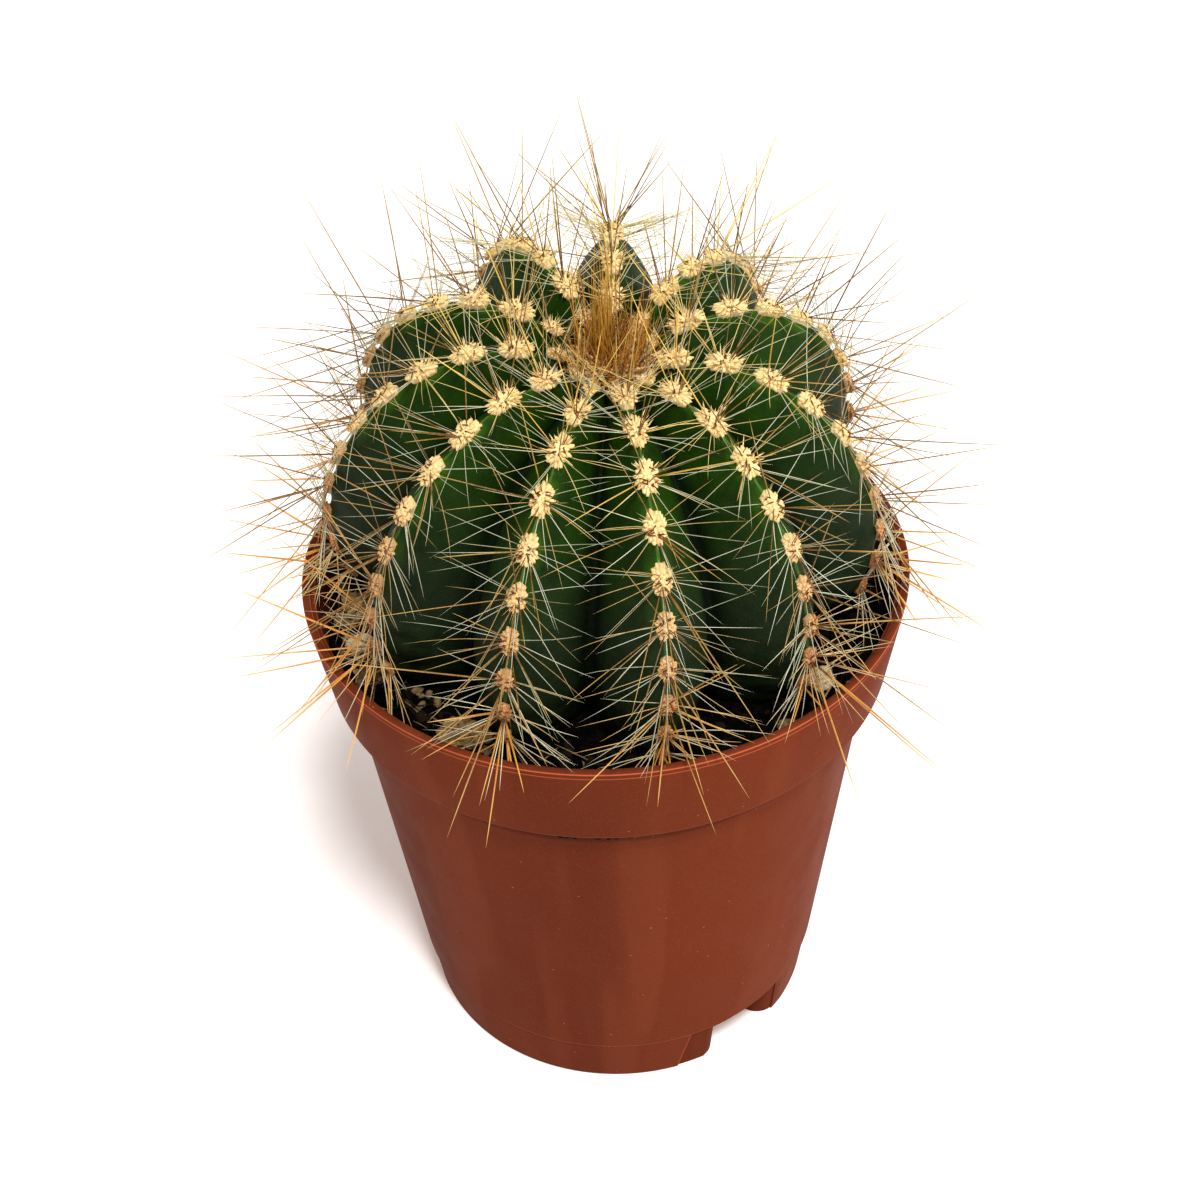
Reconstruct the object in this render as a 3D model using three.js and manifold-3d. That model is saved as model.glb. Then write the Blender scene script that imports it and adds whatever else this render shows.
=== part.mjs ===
// A round, ribbed cactus growing in a plastic nursery pot. Millimetres, +Z up.
// The origin is the middle of the pot's foot, on the surface that the pot stands on.

import * as THREE from "three";
import { mergeVertices } from "three/addons/utils/BufferGeometryUtils.js";
import Module from "manifold-3d";

const wasm = await Module();
wasm.setup();

const degree = Math.PI / 180;
const gap = 0.3; // clearance between pieces that touch
const bodyGap = 0.5; // round the plant, whose faces run aslant
const chipGap = 0.45;
const overcut = 1; // how far a cutting shape goes past what it cuts
const seeds = { soil: 11, spines: 29, tuft: 53, chips: 300 };

// Pot: a tapered body under a wider band that carries the rim, on a short skirt.
const potHeight = 77.9;
const rimRadius = 42.5;
const bandHeight = 14.4;
const bandFootRadius = 40.1;
const shoulderRadius = 37.7;
const skirtTopRadius = 30.8;
const skirtHeight = 8.7;
const skirtInset = 0.35;
const footRadius = 29.3;
const potWall = 1.2;
const rimBevel = 0.45;
const lipWidth = 1.9; // the bead and the lower ledge inside it
const lipBead = 1.2;
const lipDrop = 0.7;
const floorUnderside = 6.6;
const floorTop = 8.1;
const potSegments = 48;

// Drain recesses: at each the skirt is set in a little, then curves inward to a channel with a hole over it.
const recessAzimuths = [-51, 129];
const recessSpan = 42; // degrees, from line to line where the skirt is set in
const recessInset = 0.35;
const recessRoof = 7.3;
const channelWidth = 7.6;
const channelCorner = 3.2; // radius of the curve from the skirt into the channel
const channelMouth = 28; // from the pot's axis, at the foot
const channelEnd = 22; // from the pot's axis to the middle of the channel's round end
const drainRadius = 2.6;
const farOut = 40; // from the pot's axis, past everything that the cutting shapes meet
const curveSegments = 6;

// Soil
const soilLevel = 69.4;
const soilRelief = 0.8;
const soilSegments = 42;
const soilRings = [32, 27.5, 20]; // radii of the uneven top's rings, inside two at the pot's wall
const soilEdge = 3; // width of the outermost ring

// Cactus body, in its own upright frame: a polar outline about bodyCentre, turned into ribs.
const ribCount = 11;
const firstRibAzimuth = -111.6;
const ribSway = [0, -0.8, -0.6, 0, 3.5, 0.4, 2.6, -0.6, 2.6, 0.3, -0.8]; // degrees off an even spacing
const bodyCentre = 86;
const crestOutline = [ // angle above the equator, distance of a rib's crest
  [-90, 30], [-60, 31], [-45, 32.4], [-30, 34.6], [-15, 36.7], [0, 37.6],
  [20, 38.1], [40, 38.2], [60, 36.6], [75, 32.7], [90, 27.1],
];
const valleyShare = [ // angle above the equator, groove's distance over the crest's
  [-90, 1], [-60, 0.95], [-30, 0.8], [-15, 0.76], [20, 0.75], [40, 0.76], [60, 0.8], [75, 0.88], [90, 1],
];
const faceFullness = 0.45; // 0 gives flat rib faces, 1 full round ones
const faceCurve = 2.2; // how late a round face falls from its crest
const shownRows = 14; // from the crown down to soilAngle
const buriedRows = 3; // from there down to the stem's foot
const soilAngle = -33;
const columnsPerRib = 6;
const coarseColumns = 2; // per rib, where the body only cuts the tuft

// The plant leans: it is turned about a point of its stem at soil height, then set off centre.
const leanPivot = 72;
const leanForward = 12 * degree;
const leanSideways = 2.9 * degree;
const stemOffset = new THREE.Vector3(-0.55, 4.5, 0);

// Areoles: woolly pads along each crest, the spines' seats.
const areolePitch = 6.3;
const areoleZone = 7.2; // least distance of an areole from the plant's axis
const areolePhase = [0.79, 0.19, 0.66, 0.16, 0.54, 0.74, 0.24, 0.74, 0.96, 0.74, 0.46]; // pitches, per rib
const areoleRise = 1.6; // least height of an areole above the soil
const areoleWidth = 2.9;
const areoleLength = 4.6;
const areoleHeight = 1.9;
const crestSweep = { from: 88, to: -45, step: 0.25 }; // angles above the equator that areoles are sought at

// Spines. The spread is the tilt off the way out of the skin. The offset is the root's place off the middle
// of its areole, as a share of the areole's size. The turn is the first spine's place about the areole, from
// the way across the rib. A kind with a skip of 2 leaves its first spine out at every second areole.
const spineReach = 54; // sideways, from the pot's axis
const spineTop = 141.5;
const rootDepth = 1.5;
const needleSides = 3;
const spineKinds = [
  { count: 2, length: [15, 25], spread: [8, 48], radius: 0.34, offset: 0.2, turn: 90, skip: 2 }, // central
  { count: 2, length: [8.5, 13], spread: [52, 74], radius: 0.28, offset: 0.33, turn: 0, skip: 1 }, // side
];
const turnJitter = 55; // degrees either way from a kind's own turn
const youngAngles = [45, 75]; // above the equator: from here to there areoles get younger
const youngTilt = 0.55; // share of a spine's tilt on the youngest areoles
const youngLength = 0.8; // share of its length there
const spineClearance = 1.0;
const chipClearance = 1.3;
const skinClearance = 0.5;
const freeRoot = 3; // length by the root that may lie closer to the skin
const clearSamples = 26; // places along a spine that are tested
const rootSamples = 3; // places by the root that aren't
const leastShare = 0.4; // of its own length, that a spine which is bent clear may keep
const leastLength = 4;
const bend = { steps: 14, out: 0.1, up: 0.1, fromTuft: 0.12, tuftZone: 16 };
const shortening = { first: 0.8, factor: 0.85 };

// Crown tuft: a woolly heart in the sunken crown, with a brush of upright bristles.
const tuftRadius = 4.7;
const tuftHeight = 2.4;
const tuftLift = 1.2; // of the heart's middle above the crown's lowest point
const heartColumns = 12;
const heartRows = 6;
const tuftFlare = 0.42; // how much wider the brush gets per mm of height
const bristle = {
  count: 60, length: [9, 22], spread: 21, tilt: [0.85, 1], radius: 0.3, sink: 1, inset: 0.9, jitter: 6,
};
const seedTurn = 137.5; // degrees from bristle to bristle, as between the seeds of a flower head

// Chips of stone and bark on the soil: azimuth, distance, half sizes, turn, kind.
const chipPlaces = [
  { azimuth: -126, distance: 33.6, half: [4.3, 3.0, 2.3], turn: 25, kind: "pumice" },
  { azimuth: -33, distance: 34.2, half: [2.6, 2.1, 1.9], turn: 70, kind: "pebble" },
  { azimuth: -49, distance: 36.2, half: [2.2, 1.6, 1.2], turn: -20, kind: "pumice" },
  { azimuth: 178, distance: 36.0, half: [3.2, 2.1, 1.6], turn: 95, kind: "bark" },
  { azimuth: -157, distance: 34.8, half: [3.6, 2.2, 1.7], turn: 50, kind: "bark" },
  { azimuth: -168, distance: 35.4, half: [2.4, 1.7, 1.5], turn: 10, kind: "pebble" },
  { azimuth: 12, distance: 35.9, half: [2.5, 1.7, 1.4], turn: 80, kind: "pumice" },
  { azimuth: 66, distance: 36.3, half: [2.2, 1.5, 1.2], turn: 150, kind: "bark" },
  { azimuth: 128, distance: 36.1, half: [2.6, 1.7, 1.5], turn: 40, kind: "pumice" },
];
const chipSink = 0.35; // share of a chip's half height that is under the soil
const chipSwell = [0.82, 1.12];
const fineChip = 2.55; // half size above which a chip has more faces

const materials = {
  pot: new THREE.MeshStandardMaterial({ color: "#7c3a27", roughness: 0.5, metalness: 0 }),
  soil: new THREE.MeshStandardMaterial({ color: "#1d1713", roughness: 1, metalness: 0 }),
  cactus: new THREE.MeshStandardMaterial({ color: "#2f5a34", roughness: 0.6, metalness: 0 }),
  tuft: new THREE.MeshStandardMaterial({ color: "#b07a34", roughness: 0.8, metalness: 0 }),
  pumice: new THREE.MeshStandardMaterial({ color: "#9a8a6c", roughness: 0.95, metalness: 0 }),
  pebble: new THREE.MeshStandardMaterial({ color: "#e0cfae", roughness: 0.8, metalness: 0 }),
  bark: new THREE.MeshStandardMaterial({ color: "#8a7448", roughness: 0.95, metalness: 0 }),
};

// Seeded random draw, the same on every run.
function seededRandom(seed) {
  let state = seed;
  return () => {
    state = (state + 0x6d2b79f5) | 0;
    let mixed = Math.imul(state ^ (state >>> 15), 1 | state);
    mixed = (mixed + Math.imul(mixed ^ (mixed >>> 7), 61 | mixed)) ^ mixed;
    return ((mixed ^ (mixed >>> 14)) >>> 0) / 4294967296;
  };
}

function between(random, [low, high]) {
  return low + (high - low) * random();
}

// Smooth value between listed stops [at, value], level at the first and the last.
function smoothStops(stops, at) {
  const last = stops.length - 1;
  const upper = THREE.MathUtils.clamp(stops.findIndex(([stop]) => stop >= at), 1, last);
  const [start, from] = stops[upper - 1];
  const [end, to] = stops[upper];
  const slopeStart = upper === 1 ? 0 : (to - stops[upper - 2][1]) / (end - stops[upper - 2][0]);
  const slopeEnd = upper === last ? 0 : (stops[upper + 1][1] - from) / (stops[upper + 1][0] - start);
  const span = end - start;
  const t = (at - start) / span;
  const enter = t * t * (3 - 2 * t);
  const leave = t * (1 - t) * (1 - t) * span;
  const arrive = t * t * (t - 1) * span;
  return from + (to - from) * enter + slopeStart * leave + slopeEnd * arrive;
}

function toSolid(geometry) {
  const bare = geometry.clone();
  bare.deleteAttribute("normal");
  bare.deleteAttribute("uv");
  const merged = mergeVertices(bare, 1e-3);
  return new wasm.Manifold(new wasm.Mesh({
    numProp: 3,
    vertProperties: Float32Array.from(merged.attributes.position.array),
    triVerts: Uint32Array.from(merged.index.array),
  }));
}

function toGeometry(solid) {
  const mesh = solid.getMesh();
  const geometry = new THREE.BufferGeometry();
  geometry.setAttribute("position", new THREE.Float32BufferAttribute(mesh.vertProperties, 3));
  geometry.setIndex(Array.from(mesh.triVerts));
  geometry.computeVertexNormals();
  return geometry;
}

function turned(profile, segments) {
  const points = profile.map(([radius, height]) => new THREE.Vector2(radius, height));
  return new THREE.LatheGeometry(points, segments).rotateX(Math.PI / 2);
}

// A flat shape with X pointing out from the pot's axis, raised from low to high and turned to an azimuth.
function upright(shape, low, high, azimuth, lean = 0) {
  const outwardWithHeight = new THREE.Matrix4().makeShear(0, 0, 0, 0, lean, 0);
  const raised = { depth: high - low, bevelEnabled: false, curveSegments };
  const geometry = new THREE.ExtrudeGeometry(shape, raised)
    .translate(0, 0, low)
    .applyMatrix4(outwardWithHeight)
    .rotateZ(azimuth * degree);
  return toSolid(geometry);
}

// Pot

function bodyOuterRadius(height) {
  const share = (height - skirtHeight) / (potHeight - bandHeight - skirtHeight);
  return skirtTopRadius + (shoulderRadius - skirtTopRadius) * share;
}

function bandOuterRadius(height) {
  const share = (height - potHeight + bandHeight) / bandHeight;
  return bandFootRadius + (rimRadius - bandFootRadius) * share;
}

const shelfHeight = potHeight - bandHeight + potWall;
const hair = 0.01; // to either side of the shelf, where the wall steps out

function innerRadius(height) {
  return height > shelfHeight ? bandOuterRadius(height) - potWall : bodyOuterRadius(height) - potWall;
}

const skirtSlope = (skirtTopRadius - skirtInset - footRadius) / skirtHeight;

// Plan of a channel: a flared mouth, parallel sides and a round end. Walls grow it into the skirt.
function channelPlan(walls) {
  const half = channelWidth / 2 + walls;
  const curve = channelCorner - walls;
  const curveAcross = channelWidth / 2 + channelCorner;
  const curveOut = channelMouth - channelCorner;
  return new THREE.Shape()
    .moveTo(farOut, -curveAcross)
    .lineTo(farOut, curveAcross)
    .lineTo(curveOut + curve, curveAcross)
    .absarc(curveOut, curveAcross, curve, 0, -Math.PI / 2, true)
    .absarc(channelEnd, 0, half, Math.PI / 2, (3 * Math.PI) / 2, false)
    .absarc(curveOut, -curveAcross, curve, Math.PI / 2, 0, true);
}

// The shallow step in the skirt's face round a recess.
function skirtStep(azimuth) {
  const low = -overcut;
  const high = skirtHeight - skirtInset;
  const face = (height) => footRadius - recessInset + skirtSlope * height;
  const band = [[face(low), low], [farOut, low], [farOut, high], [face(high), high], [face(low), low]];
  const half = (recessSpan / 2) * degree;
  const side = farOut / Math.cos(half);
  const wedge = new THREE.Shape()
    .moveTo(0, 0)
    .lineTo(side * Math.cos(half), -side * Math.sin(half))
    .lineTo(side * Math.cos(half), side * Math.sin(half));
  return toSolid(turned(band, potSegments)).intersect(upright(wedge, low, high, azimuth));
}

function drainPlan() {
  return new THREE.Shape().absarc(channelEnd, 0, drainRadius, 0, 2 * Math.PI, false);
}

function potGeometry() {
  const bandFoot = potHeight - bandHeight;
  const skirtInnerTop = footRadius + skirtSlope * floorUnderside - potWall;
  let pot = toSolid(turned([
    [0, floorUnderside],
    [skirtInnerTop, floorUnderside],
    [footRadius - potWall, 0],
    [footRadius, 0],
    [skirtTopRadius - skirtInset, skirtHeight - skirtInset],
    [skirtTopRadius, skirtHeight],
    [shoulderRadius, bandFoot],
    [bandFootRadius - rimBevel, bandFoot],
    [bandFootRadius, bandFoot + rimBevel],
    [rimRadius, potHeight - rimBevel],
    [rimRadius - rimBevel, potHeight],
    [rimRadius - lipBead + rimBevel, potHeight],
    [rimRadius - lipBead, potHeight - lipDrop],
    [rimRadius - lipWidth, potHeight - lipDrop - rimBevel],
    [innerRadius(shelfHeight + hair), shelfHeight],
    [innerRadius(shelfHeight - hair), shelfHeight],
    [innerRadius(floorTop), floorTop],
    [0, floorTop],
  ], potSegments));
  const foot = toSolid(turned([
    [0, 0],
    [footRadius - potWall / 2, 0],
    [skirtInnerTop + potWall / 2, floorUnderside],
    [0, floorUnderside],
  ], potSegments));
  for (const azimuth of recessAzimuths) {
    pot = pot.add(upright(channelPlan(potWall), 0, recessRoof, azimuth, skirtSlope).intersect(foot));
    pot = pot.subtract(skirtStep(azimuth));
    pot = pot.subtract(upright(channelPlan(0), -overcut, recessRoof, azimuth, skirtSlope));
    pot = pot.subtract(upright(drainPlan(), floorUnderside - overcut, floorTop + overcut, azimuth));
  }
  return toGeometry(pot);
}

// Cactus body

const plantFrame = new THREE.Matrix4()
  .makeTranslation(stemOffset.x, stemOffset.y, leanPivot)
  .multiply(new THREE.Matrix4().makeRotationX(leanForward))
  .multiply(new THREE.Matrix4().makeRotationY(leanSideways))
  .multiply(new THREE.Matrix4().makeTranslation(0, 0, -leanPivot));
const plantFrameBack = plantFrame.clone().invert();

// Azimuth in radians for a place counted in ribs: whole numbers are crests, halves are grooves.
function ribAzimuth(place) {
  const lower = Math.floor(place);
  const share = place - lower;
  const swayAt = (rib) => ribSway[((rib % ribCount) + ribCount) % ribCount];
  const sway = swayAt(lower) * (1 - share) + swayAt(lower + 1) * share;
  return (firstRibAzimuth + (place * 360) / ribCount + sway) * degree;
}

// Distance of the skin from bodyCentre at an angle above the equator (degrees) and a rib place.
function skinDistance(angle, place) {
  const crest = smoothStops(crestOutline, angle);
  const valley = crest * smoothStops(valleyShare, angle);
  const fromCrest = Math.abs(place - Math.round(place)) * 2;
  const fall = (1 - faceFullness) * fromCrest + faceFullness * fromCrest ** faceCurve;
  return crest - (crest - valley) * fall;
}

function skinPoint(angle, place, swell = 0) {
  const distance = skinDistance(angle, place) + swell;
  const azimuth = ribAzimuth(place);
  const flat = distance * Math.cos(angle * degree);
  const height = bodyCentre + distance * Math.sin(angle * degree);
  return new THREE.Vector3(flat * Math.cos(azimuth), flat * Math.sin(azimuth), height);
}

function rowAngle(row) {
  if (row <= shownRows) return 90 - ((90 - soilAngle) * row) / shownRows;
  return soilAngle - ((90 + soilAngle) * (row - shownRows)) / buriedRows;
}

// A sphere whose points are moved out to the ribbed skin, then leaned.
function bodyGeometry(swell, perRib = columnsPerRib) {
  const columns = ribCount * perRib;
  const geometry = new THREE.SphereGeometry(1, columns, shownRows + buriedRows).rotateX(Math.PI / 2);
  const position = geometry.attributes.position;
  const perRow = columns + 1;
  for (let index = 0; index < position.count; index += 1) {
    const row = Math.floor(index / perRow);
    const column = (index % perRow) % columns;
    const point = skinPoint(rowAngle(row), column / perRib, swell);
    position.setXYZ(index, ...point.applyMatrix4(plantFrame));
  }
  return geometry;
}

// True where a point lies within the skin, or nearer to it than margin.
function withinBody(point, margin) {
  const local = point.clone().applyMatrix4(plantFrameBack);
  const flat = Math.hypot(local.x, local.y);
  const angle = Math.atan2(local.z - bodyCentre, flat) / degree;
  const turn = Math.atan2(local.y, local.x) / degree - firstRibAzimuth;
  const place = (((turn % 360) + 360) % 360) / (360 / ribCount);
  return Math.hypot(flat, local.z - bodyCentre) < skinDistance(angle, place) + margin;
}

// Areoles

// Places down a crest, areolePitch apart, from the crown to just above the soil.
function crestAngles(rib) {
  const angles = [];
  let travelled = areolePitch * (1 - areolePhase[rib]);
  let last = null;
  for (let angle = crestSweep.from; angle > crestSweep.to; angle -= crestSweep.step) {
    const point = skinPoint(angle, rib);
    if (Math.hypot(point.x, point.y) < areoleZone) continue;
    if (last) travelled += point.distanceTo(last);
    last = point.clone();
    const height = point.applyMatrix4(plantFrame).z;
    if (travelled < areolePitch || height < soilLevel + areoleRise) continue;
    travelled -= areolePitch;
    angles.push(angle);
  }
  return angles;
}

// Seat of an areole: its middle, the way out of the skin, the way up the crest and the way across.
function seatAt(angle, rib) {
  const middle = skinPoint(angle, rib).applyMatrix4(plantFrame);
  const above = skinPoint(angle + 1, rib).applyMatrix4(plantFrame);
  const along = above.sub(middle).normalize();
  const azimuth = ribAzimuth(rib);
  const across = new THREE.Vector3(-Math.sin(azimuth), Math.cos(azimuth), 0).transformDirection(plantFrame);
  const out = new THREE.Vector3().crossVectors(across, along).normalize();
  return { middle, out, along, across, angle };
}

const seats = [];
for (let rib = 0; rib < ribCount; rib += 1) {
  for (const angle of crestAngles(rib)) seats.push(seatAt(angle, rib));
}

function padGeometry(seat) {
  const frame = new THREE.Matrix4().makeBasis(seat.across, seat.along, seat.out).setPosition(seat.middle);
  return new THREE.OctahedronGeometry(1)
    .scale(areoleWidth / 2, areoleLength / 2, areoleHeight / 2)
    .applyMatrix4(frame);
}

// Chips

function chipGeometry(chip, random) {
  const geometry = new THREE.IcosahedronGeometry(1, chip.half[0] > fineChip ? 1 : 0);
  geometry.deleteAttribute("normal");
  geometry.deleteAttribute("uv");
  const merged = mergeVertices(geometry, 1e-3);
  const position = merged.attributes.position;
  const corner = new THREE.Vector3();
  for (let index = 0; index < position.count; index += 1) {
    corner.fromBufferAttribute(position, index).multiplyScalar(between(random, chipSwell));
    position.setXYZ(index, ...corner);
  }
  merged.scale(...chip.half);
  merged.computeVertexNormals();
  return merged;
}

function chipMesh(chip, index) {
  const mesh = new THREE.Mesh(chipGeometry(chip, seededRandom(seeds.chips + index)), materials[chip.kind]);
  const turn = chip.azimuth * degree;
  const height = soilLevel + chip.half[2] * (1 - chipSink);
  mesh.name = `${chip.kind}_chip_${index + 1}`;
  mesh.position.set(chip.distance * Math.cos(turn), chip.distance * Math.sin(turn), height);
  mesh.rotation.set(0, 0, chip.turn * degree);
  mesh.updateMatrixWorld();
  return mesh;
}

const chips = chipPlaces.map(chipMesh);

// The place that a chip takes up, larger by its gap all round.
function chipHollow(mesh, chip) {
  const [wide, deep, high] = chip.half;
  return mesh.geometry.clone()
    .scale(1 + chipGap / wide, 1 + chipGap / deep, 1 + chipGap / high)
    .applyMatrix4(mesh.matrixWorld);
}

// Soil: fills the pot up to soilLevel, uneven on top, hollowed for the plant and the chips.

function soilGeometry() {
  const random = seededRandom(seeds.soil);
  const edge = innerRadius(soilLevel) - gap;
  const top = [edge, edge - soilEdge, ...soilRings].map((radius) => [radius, soilLevel]);
  const side = [
    [0, floorTop + gap],
    [innerRadius(floorTop) - gap, floorTop + gap],
    [innerRadius(shelfHeight - hair) - gap, shelfHeight + gap],
    [innerRadius(shelfHeight + hair) - gap, shelfHeight + gap],
  ];
  const profile = [...side, ...top, [0, soilLevel]];
  const geometry = turned(profile, soilSegments);
  const position = geometry.attributes.position;
  for (let index = 0; index < position.count; index += 1) {
    const column = Math.floor(index / profile.length);
    const row = index % profile.length;
    const onTop = row > side.length && row < profile.length - 1;
    if (!onTop || column === soilSegments) continue;
    const lift = between(random, [-soilRelief, soilRelief]);
    position.setZ(index, soilLevel + lift);
    if (column === 0) position.setZ(index + profile.length * soilSegments, soilLevel + lift);
  }
  let soil = toSolid(geometry).subtract(toSolid(bodyGeometry(bodyGap)));
  chips.forEach((mesh, index) => {
    soil = soil.subtract(toSolid(chipHollow(mesh, chipPlaces[index])));
  });
  return toGeometry(soil.decompose().sort((a, b) => b.volume() - a.volume())[0]);
}

// Spines

// A needle from its sunk root to its tip.
function needleGeometry(sunk, tip, radius) {
  const run = tip.clone().sub(sunk);
  const length = run.length();
  const turn = new THREE.Quaternion().setFromUnitVectors(new THREE.Vector3(0, 1, 0), run.normalize());
  return new THREE.ConeGeometry(radius, length, needleSides)
    .translate(0, length / 2, 0)
    .applyQuaternion(turn)
    .translate(sunk.x, sunk.y, sunk.z);
}

function hitsPot(point) {
  const distance = Math.hypot(point.x, point.y);
  if (point.z > potHeight + spineClearance || distance > rimRadius + spineClearance) return false;
  if (point.z < soilLevel + soilRelief + spineClearance) return true;
  return distance > rimRadius - lipWidth - spineClearance;
}

function hitsChip(point) {
  return chips.some((mesh, index) => {
    const local = mesh.worldToLocal(point.clone());
    const [wide, deep, high] = chipPlaces[index].half;
    const scaled = [local.x / (wide + chipClearance), local.y / (deep + chipClearance)];
    return Math.hypot(...scaled, local.z / (high + chipClearance)) < 1;
  });
}

const crownPoint = skinPoint(90, 0);

// The tuft's own space: a flaring column above the crown, in the plant's frame.
function inTuft(point, margin) {
  const local = point.clone().applyMatrix4(plantFrameBack);
  const height = local.z - crownPoint.z;
  return Math.hypot(local.x, local.y) < tuftRadius + tuftFlare * Math.max(height, 0) + margin;
}

function isClear(root, direction, length) {
  for (let sample = rootSamples; sample <= clearSamples; sample += 1) {
    const along = (length * sample) / clearSamples;
    const point = root.clone().addScaledVector(direction, along);
    if (hitsPot(point) || hitsChip(point) || inTuft(point, spineClearance)) return false;
    if (along > freeRoot && withinBody(point, skinClearance)) return false;
  }
  return true;
}

// Shortens a spine that would reach past the plant's overall spread.
function withinReach(root, direction, length) {
  const across = (start, slope) => (Math.sign(slope) * spineReach - start) / slope;
  const upward = direction.z > 0 ? (spineTop - root.z) / direction.z : length;
  return Math.min(length, across(root.x, direction.x), across(root.y, direction.y), upward);
}

// Tip of a spine that is bent up and out in small steps until it is clear, or else shortened.
function settledSpine(seat, root, direction, wanted) {
  const heading = direction.clone();
  const local = root.clone().applyMatrix4(plantFrameBack);
  const outward = new THREE.Vector3(local.x, local.y, 0).normalize().transformDirection(plantFrame);
  const nearTuft = Math.hypot(local.x, local.y) < bend.tuftZone;
  for (let step = 0; step < bend.steps; step += 1) {
    const length = withinReach(root, heading, wanted);
    if (length > wanted * leastShare && isClear(root, heading, length)) {
      return root.clone().addScaledVector(heading, length);
    }
    heading.addScaledVector(seat.out, bend.out);
    if (nearTuft) heading.addScaledVector(outward, bend.fromTuft);
    else heading.z += bend.up;
    heading.normalize();
  }
  for (let length = wanted * shortening.first; length > leastLength; length *= shortening.factor) {
    const fitted = withinReach(root, direction, length);
    if (isClear(root, direction, fitted)) return root.clone().addScaledVector(direction, fitted);
  }
  return null;
}

// Directions fan round the seat: angle from the way out, then turn about it.
function fanned(seat, tilt, turn) {
  const side = Math.sin(tilt);
  return new THREE.Vector3()
    .addScaledVector(seat.out, Math.cos(tilt))
    .addScaledVector(seat.across, side * Math.cos(turn))
    .addScaledVector(seat.along, side * Math.sin(turn))
    .normalize();
}

function spines() {
  const random = seededRandom(seeds.spines);
  const grown = [];
  seats.forEach((seat, index) => {
    const young = THREE.MathUtils.smoothstep(seat.angle, ...youngAngles);
    for (const kind of spineKinds) {
      for (let place = index % kind.skip; place < kind.count; place += 1) {
        const tilt = between(random, kind.spread) * THREE.MathUtils.lerp(1, youngTilt, young) * degree;
        const jitter = between(random, [-turnJitter, turnJitter]);
        const turn = (kind.turn + (360 * place) / kind.count + jitter) * degree;
        const length = between(random, kind.length) * THREE.MathUtils.lerp(1, youngLength, young);
        const root = seat.middle.clone()
          .addScaledVector(seat.across, areoleWidth * kind.offset * Math.cos(turn))
          .addScaledVector(seat.along, areoleLength * kind.offset * Math.sin(turn));
        const tip = settledSpine(seat, root, fanned(seat, tilt, turn), length);
        const sunk = root.clone().addScaledVector(seat.out, -rootDepth);
        if (tip) grown.push({ sunk, tip, radius: kind.radius });
      }
    }
  });
  return grown;
}

function cactusGeometry() {
  const solids = [toSolid(bodyGeometry(0))];
  for (const seat of seats) solids.push(toSolid(padGeometry(seat)));
  for (const { sunk, tip, radius } of spines()) solids.push(toSolid(needleGeometry(sunk, tip, radius)));
  return toGeometry(wasm.Manifold.union(solids));
}

// Crown tuft

function tuftGeometry() {
  const random = seededRandom(seeds.tuft);
  const heart = new THREE.SphereGeometry(1, heartColumns, heartRows)
    .rotateX(Math.PI / 2)
    .scale(tuftRadius, tuftRadius, tuftHeight)
    .translate(0, 0, crownPoint.z + tuftLift)
    .applyMatrix4(plantFrame);
  const solids = [toSolid(heart)];
  for (let index = 0; index < bristle.count; index += 1) {
    const share = (index + 0.5) / bristle.count;
    const distance = (tuftRadius - bristle.inset) * Math.sqrt(share);
    const azimuth = index * seedTurn * degree;
    const tilt = bristle.spread * (distance / tuftRadius) * between(random, bristle.tilt) * degree;
    const rise = tuftHeight * Math.sqrt(1 - (distance / tuftRadius) ** 2);
    const root = new THREE.Vector3(
      distance * Math.cos(azimuth),
      distance * Math.sin(azimuth),
      crownPoint.z + tuftLift + rise,
    ).applyMatrix4(plantFrame);
    const lean = azimuth + between(random, [-bristle.jitter, bristle.jitter]) * degree;
    const direction = new THREE.Vector3(
      Math.sin(tilt) * Math.cos(lean),
      Math.sin(tilt) * Math.sin(lean),
      Math.cos(tilt),
    ).transformDirection(plantFrame);
    const length = withinReach(root, direction, between(random, bristle.length));
    const tip = root.clone().addScaledVector(direction, length);
    const sunk = root.clone().addScaledVector(direction, -bristle.sink);
    solids.push(toSolid(needleGeometry(sunk, tip, bristle.radius)));
  }
  return toGeometry(wasm.Manifold.union(solids).subtract(toSolid(bodyGeometry(bodyGap, coarseColumns))));
}

function named(name, geometry, material) {
  const mesh = new THREE.Mesh(geometry, material);
  mesh.name = name;
  return mesh;
}

const pottedCactus = new THREE.Group();
pottedCactus.add(
  named("pot", potGeometry(), materials.pot),
  named("soil", soilGeometry(), materials.soil),
  named("cactus", cactusGeometry(), materials.cactus),
  named("crown_tuft", tuftGeometry(), materials.tuft),
  ...chips,
);

export default pottedCactus;
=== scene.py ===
import math
import random

import bmesh
import bpy
from mathutils import Matrix, Vector, noise


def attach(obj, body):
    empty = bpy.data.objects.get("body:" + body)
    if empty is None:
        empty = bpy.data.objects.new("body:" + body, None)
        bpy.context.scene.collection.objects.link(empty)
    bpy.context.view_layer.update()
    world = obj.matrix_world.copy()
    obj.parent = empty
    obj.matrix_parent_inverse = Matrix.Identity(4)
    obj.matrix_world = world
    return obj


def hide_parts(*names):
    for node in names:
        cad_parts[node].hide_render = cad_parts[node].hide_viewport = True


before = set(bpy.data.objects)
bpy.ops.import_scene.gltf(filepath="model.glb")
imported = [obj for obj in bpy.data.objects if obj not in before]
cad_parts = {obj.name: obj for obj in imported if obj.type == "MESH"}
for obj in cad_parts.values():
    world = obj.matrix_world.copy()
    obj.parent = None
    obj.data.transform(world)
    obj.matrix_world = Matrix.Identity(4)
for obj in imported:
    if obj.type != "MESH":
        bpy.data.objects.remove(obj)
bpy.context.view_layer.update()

# Sizes are in millimetres here, and addPiece brings each finished mesh to metres.
millimetre = 0.001
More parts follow.
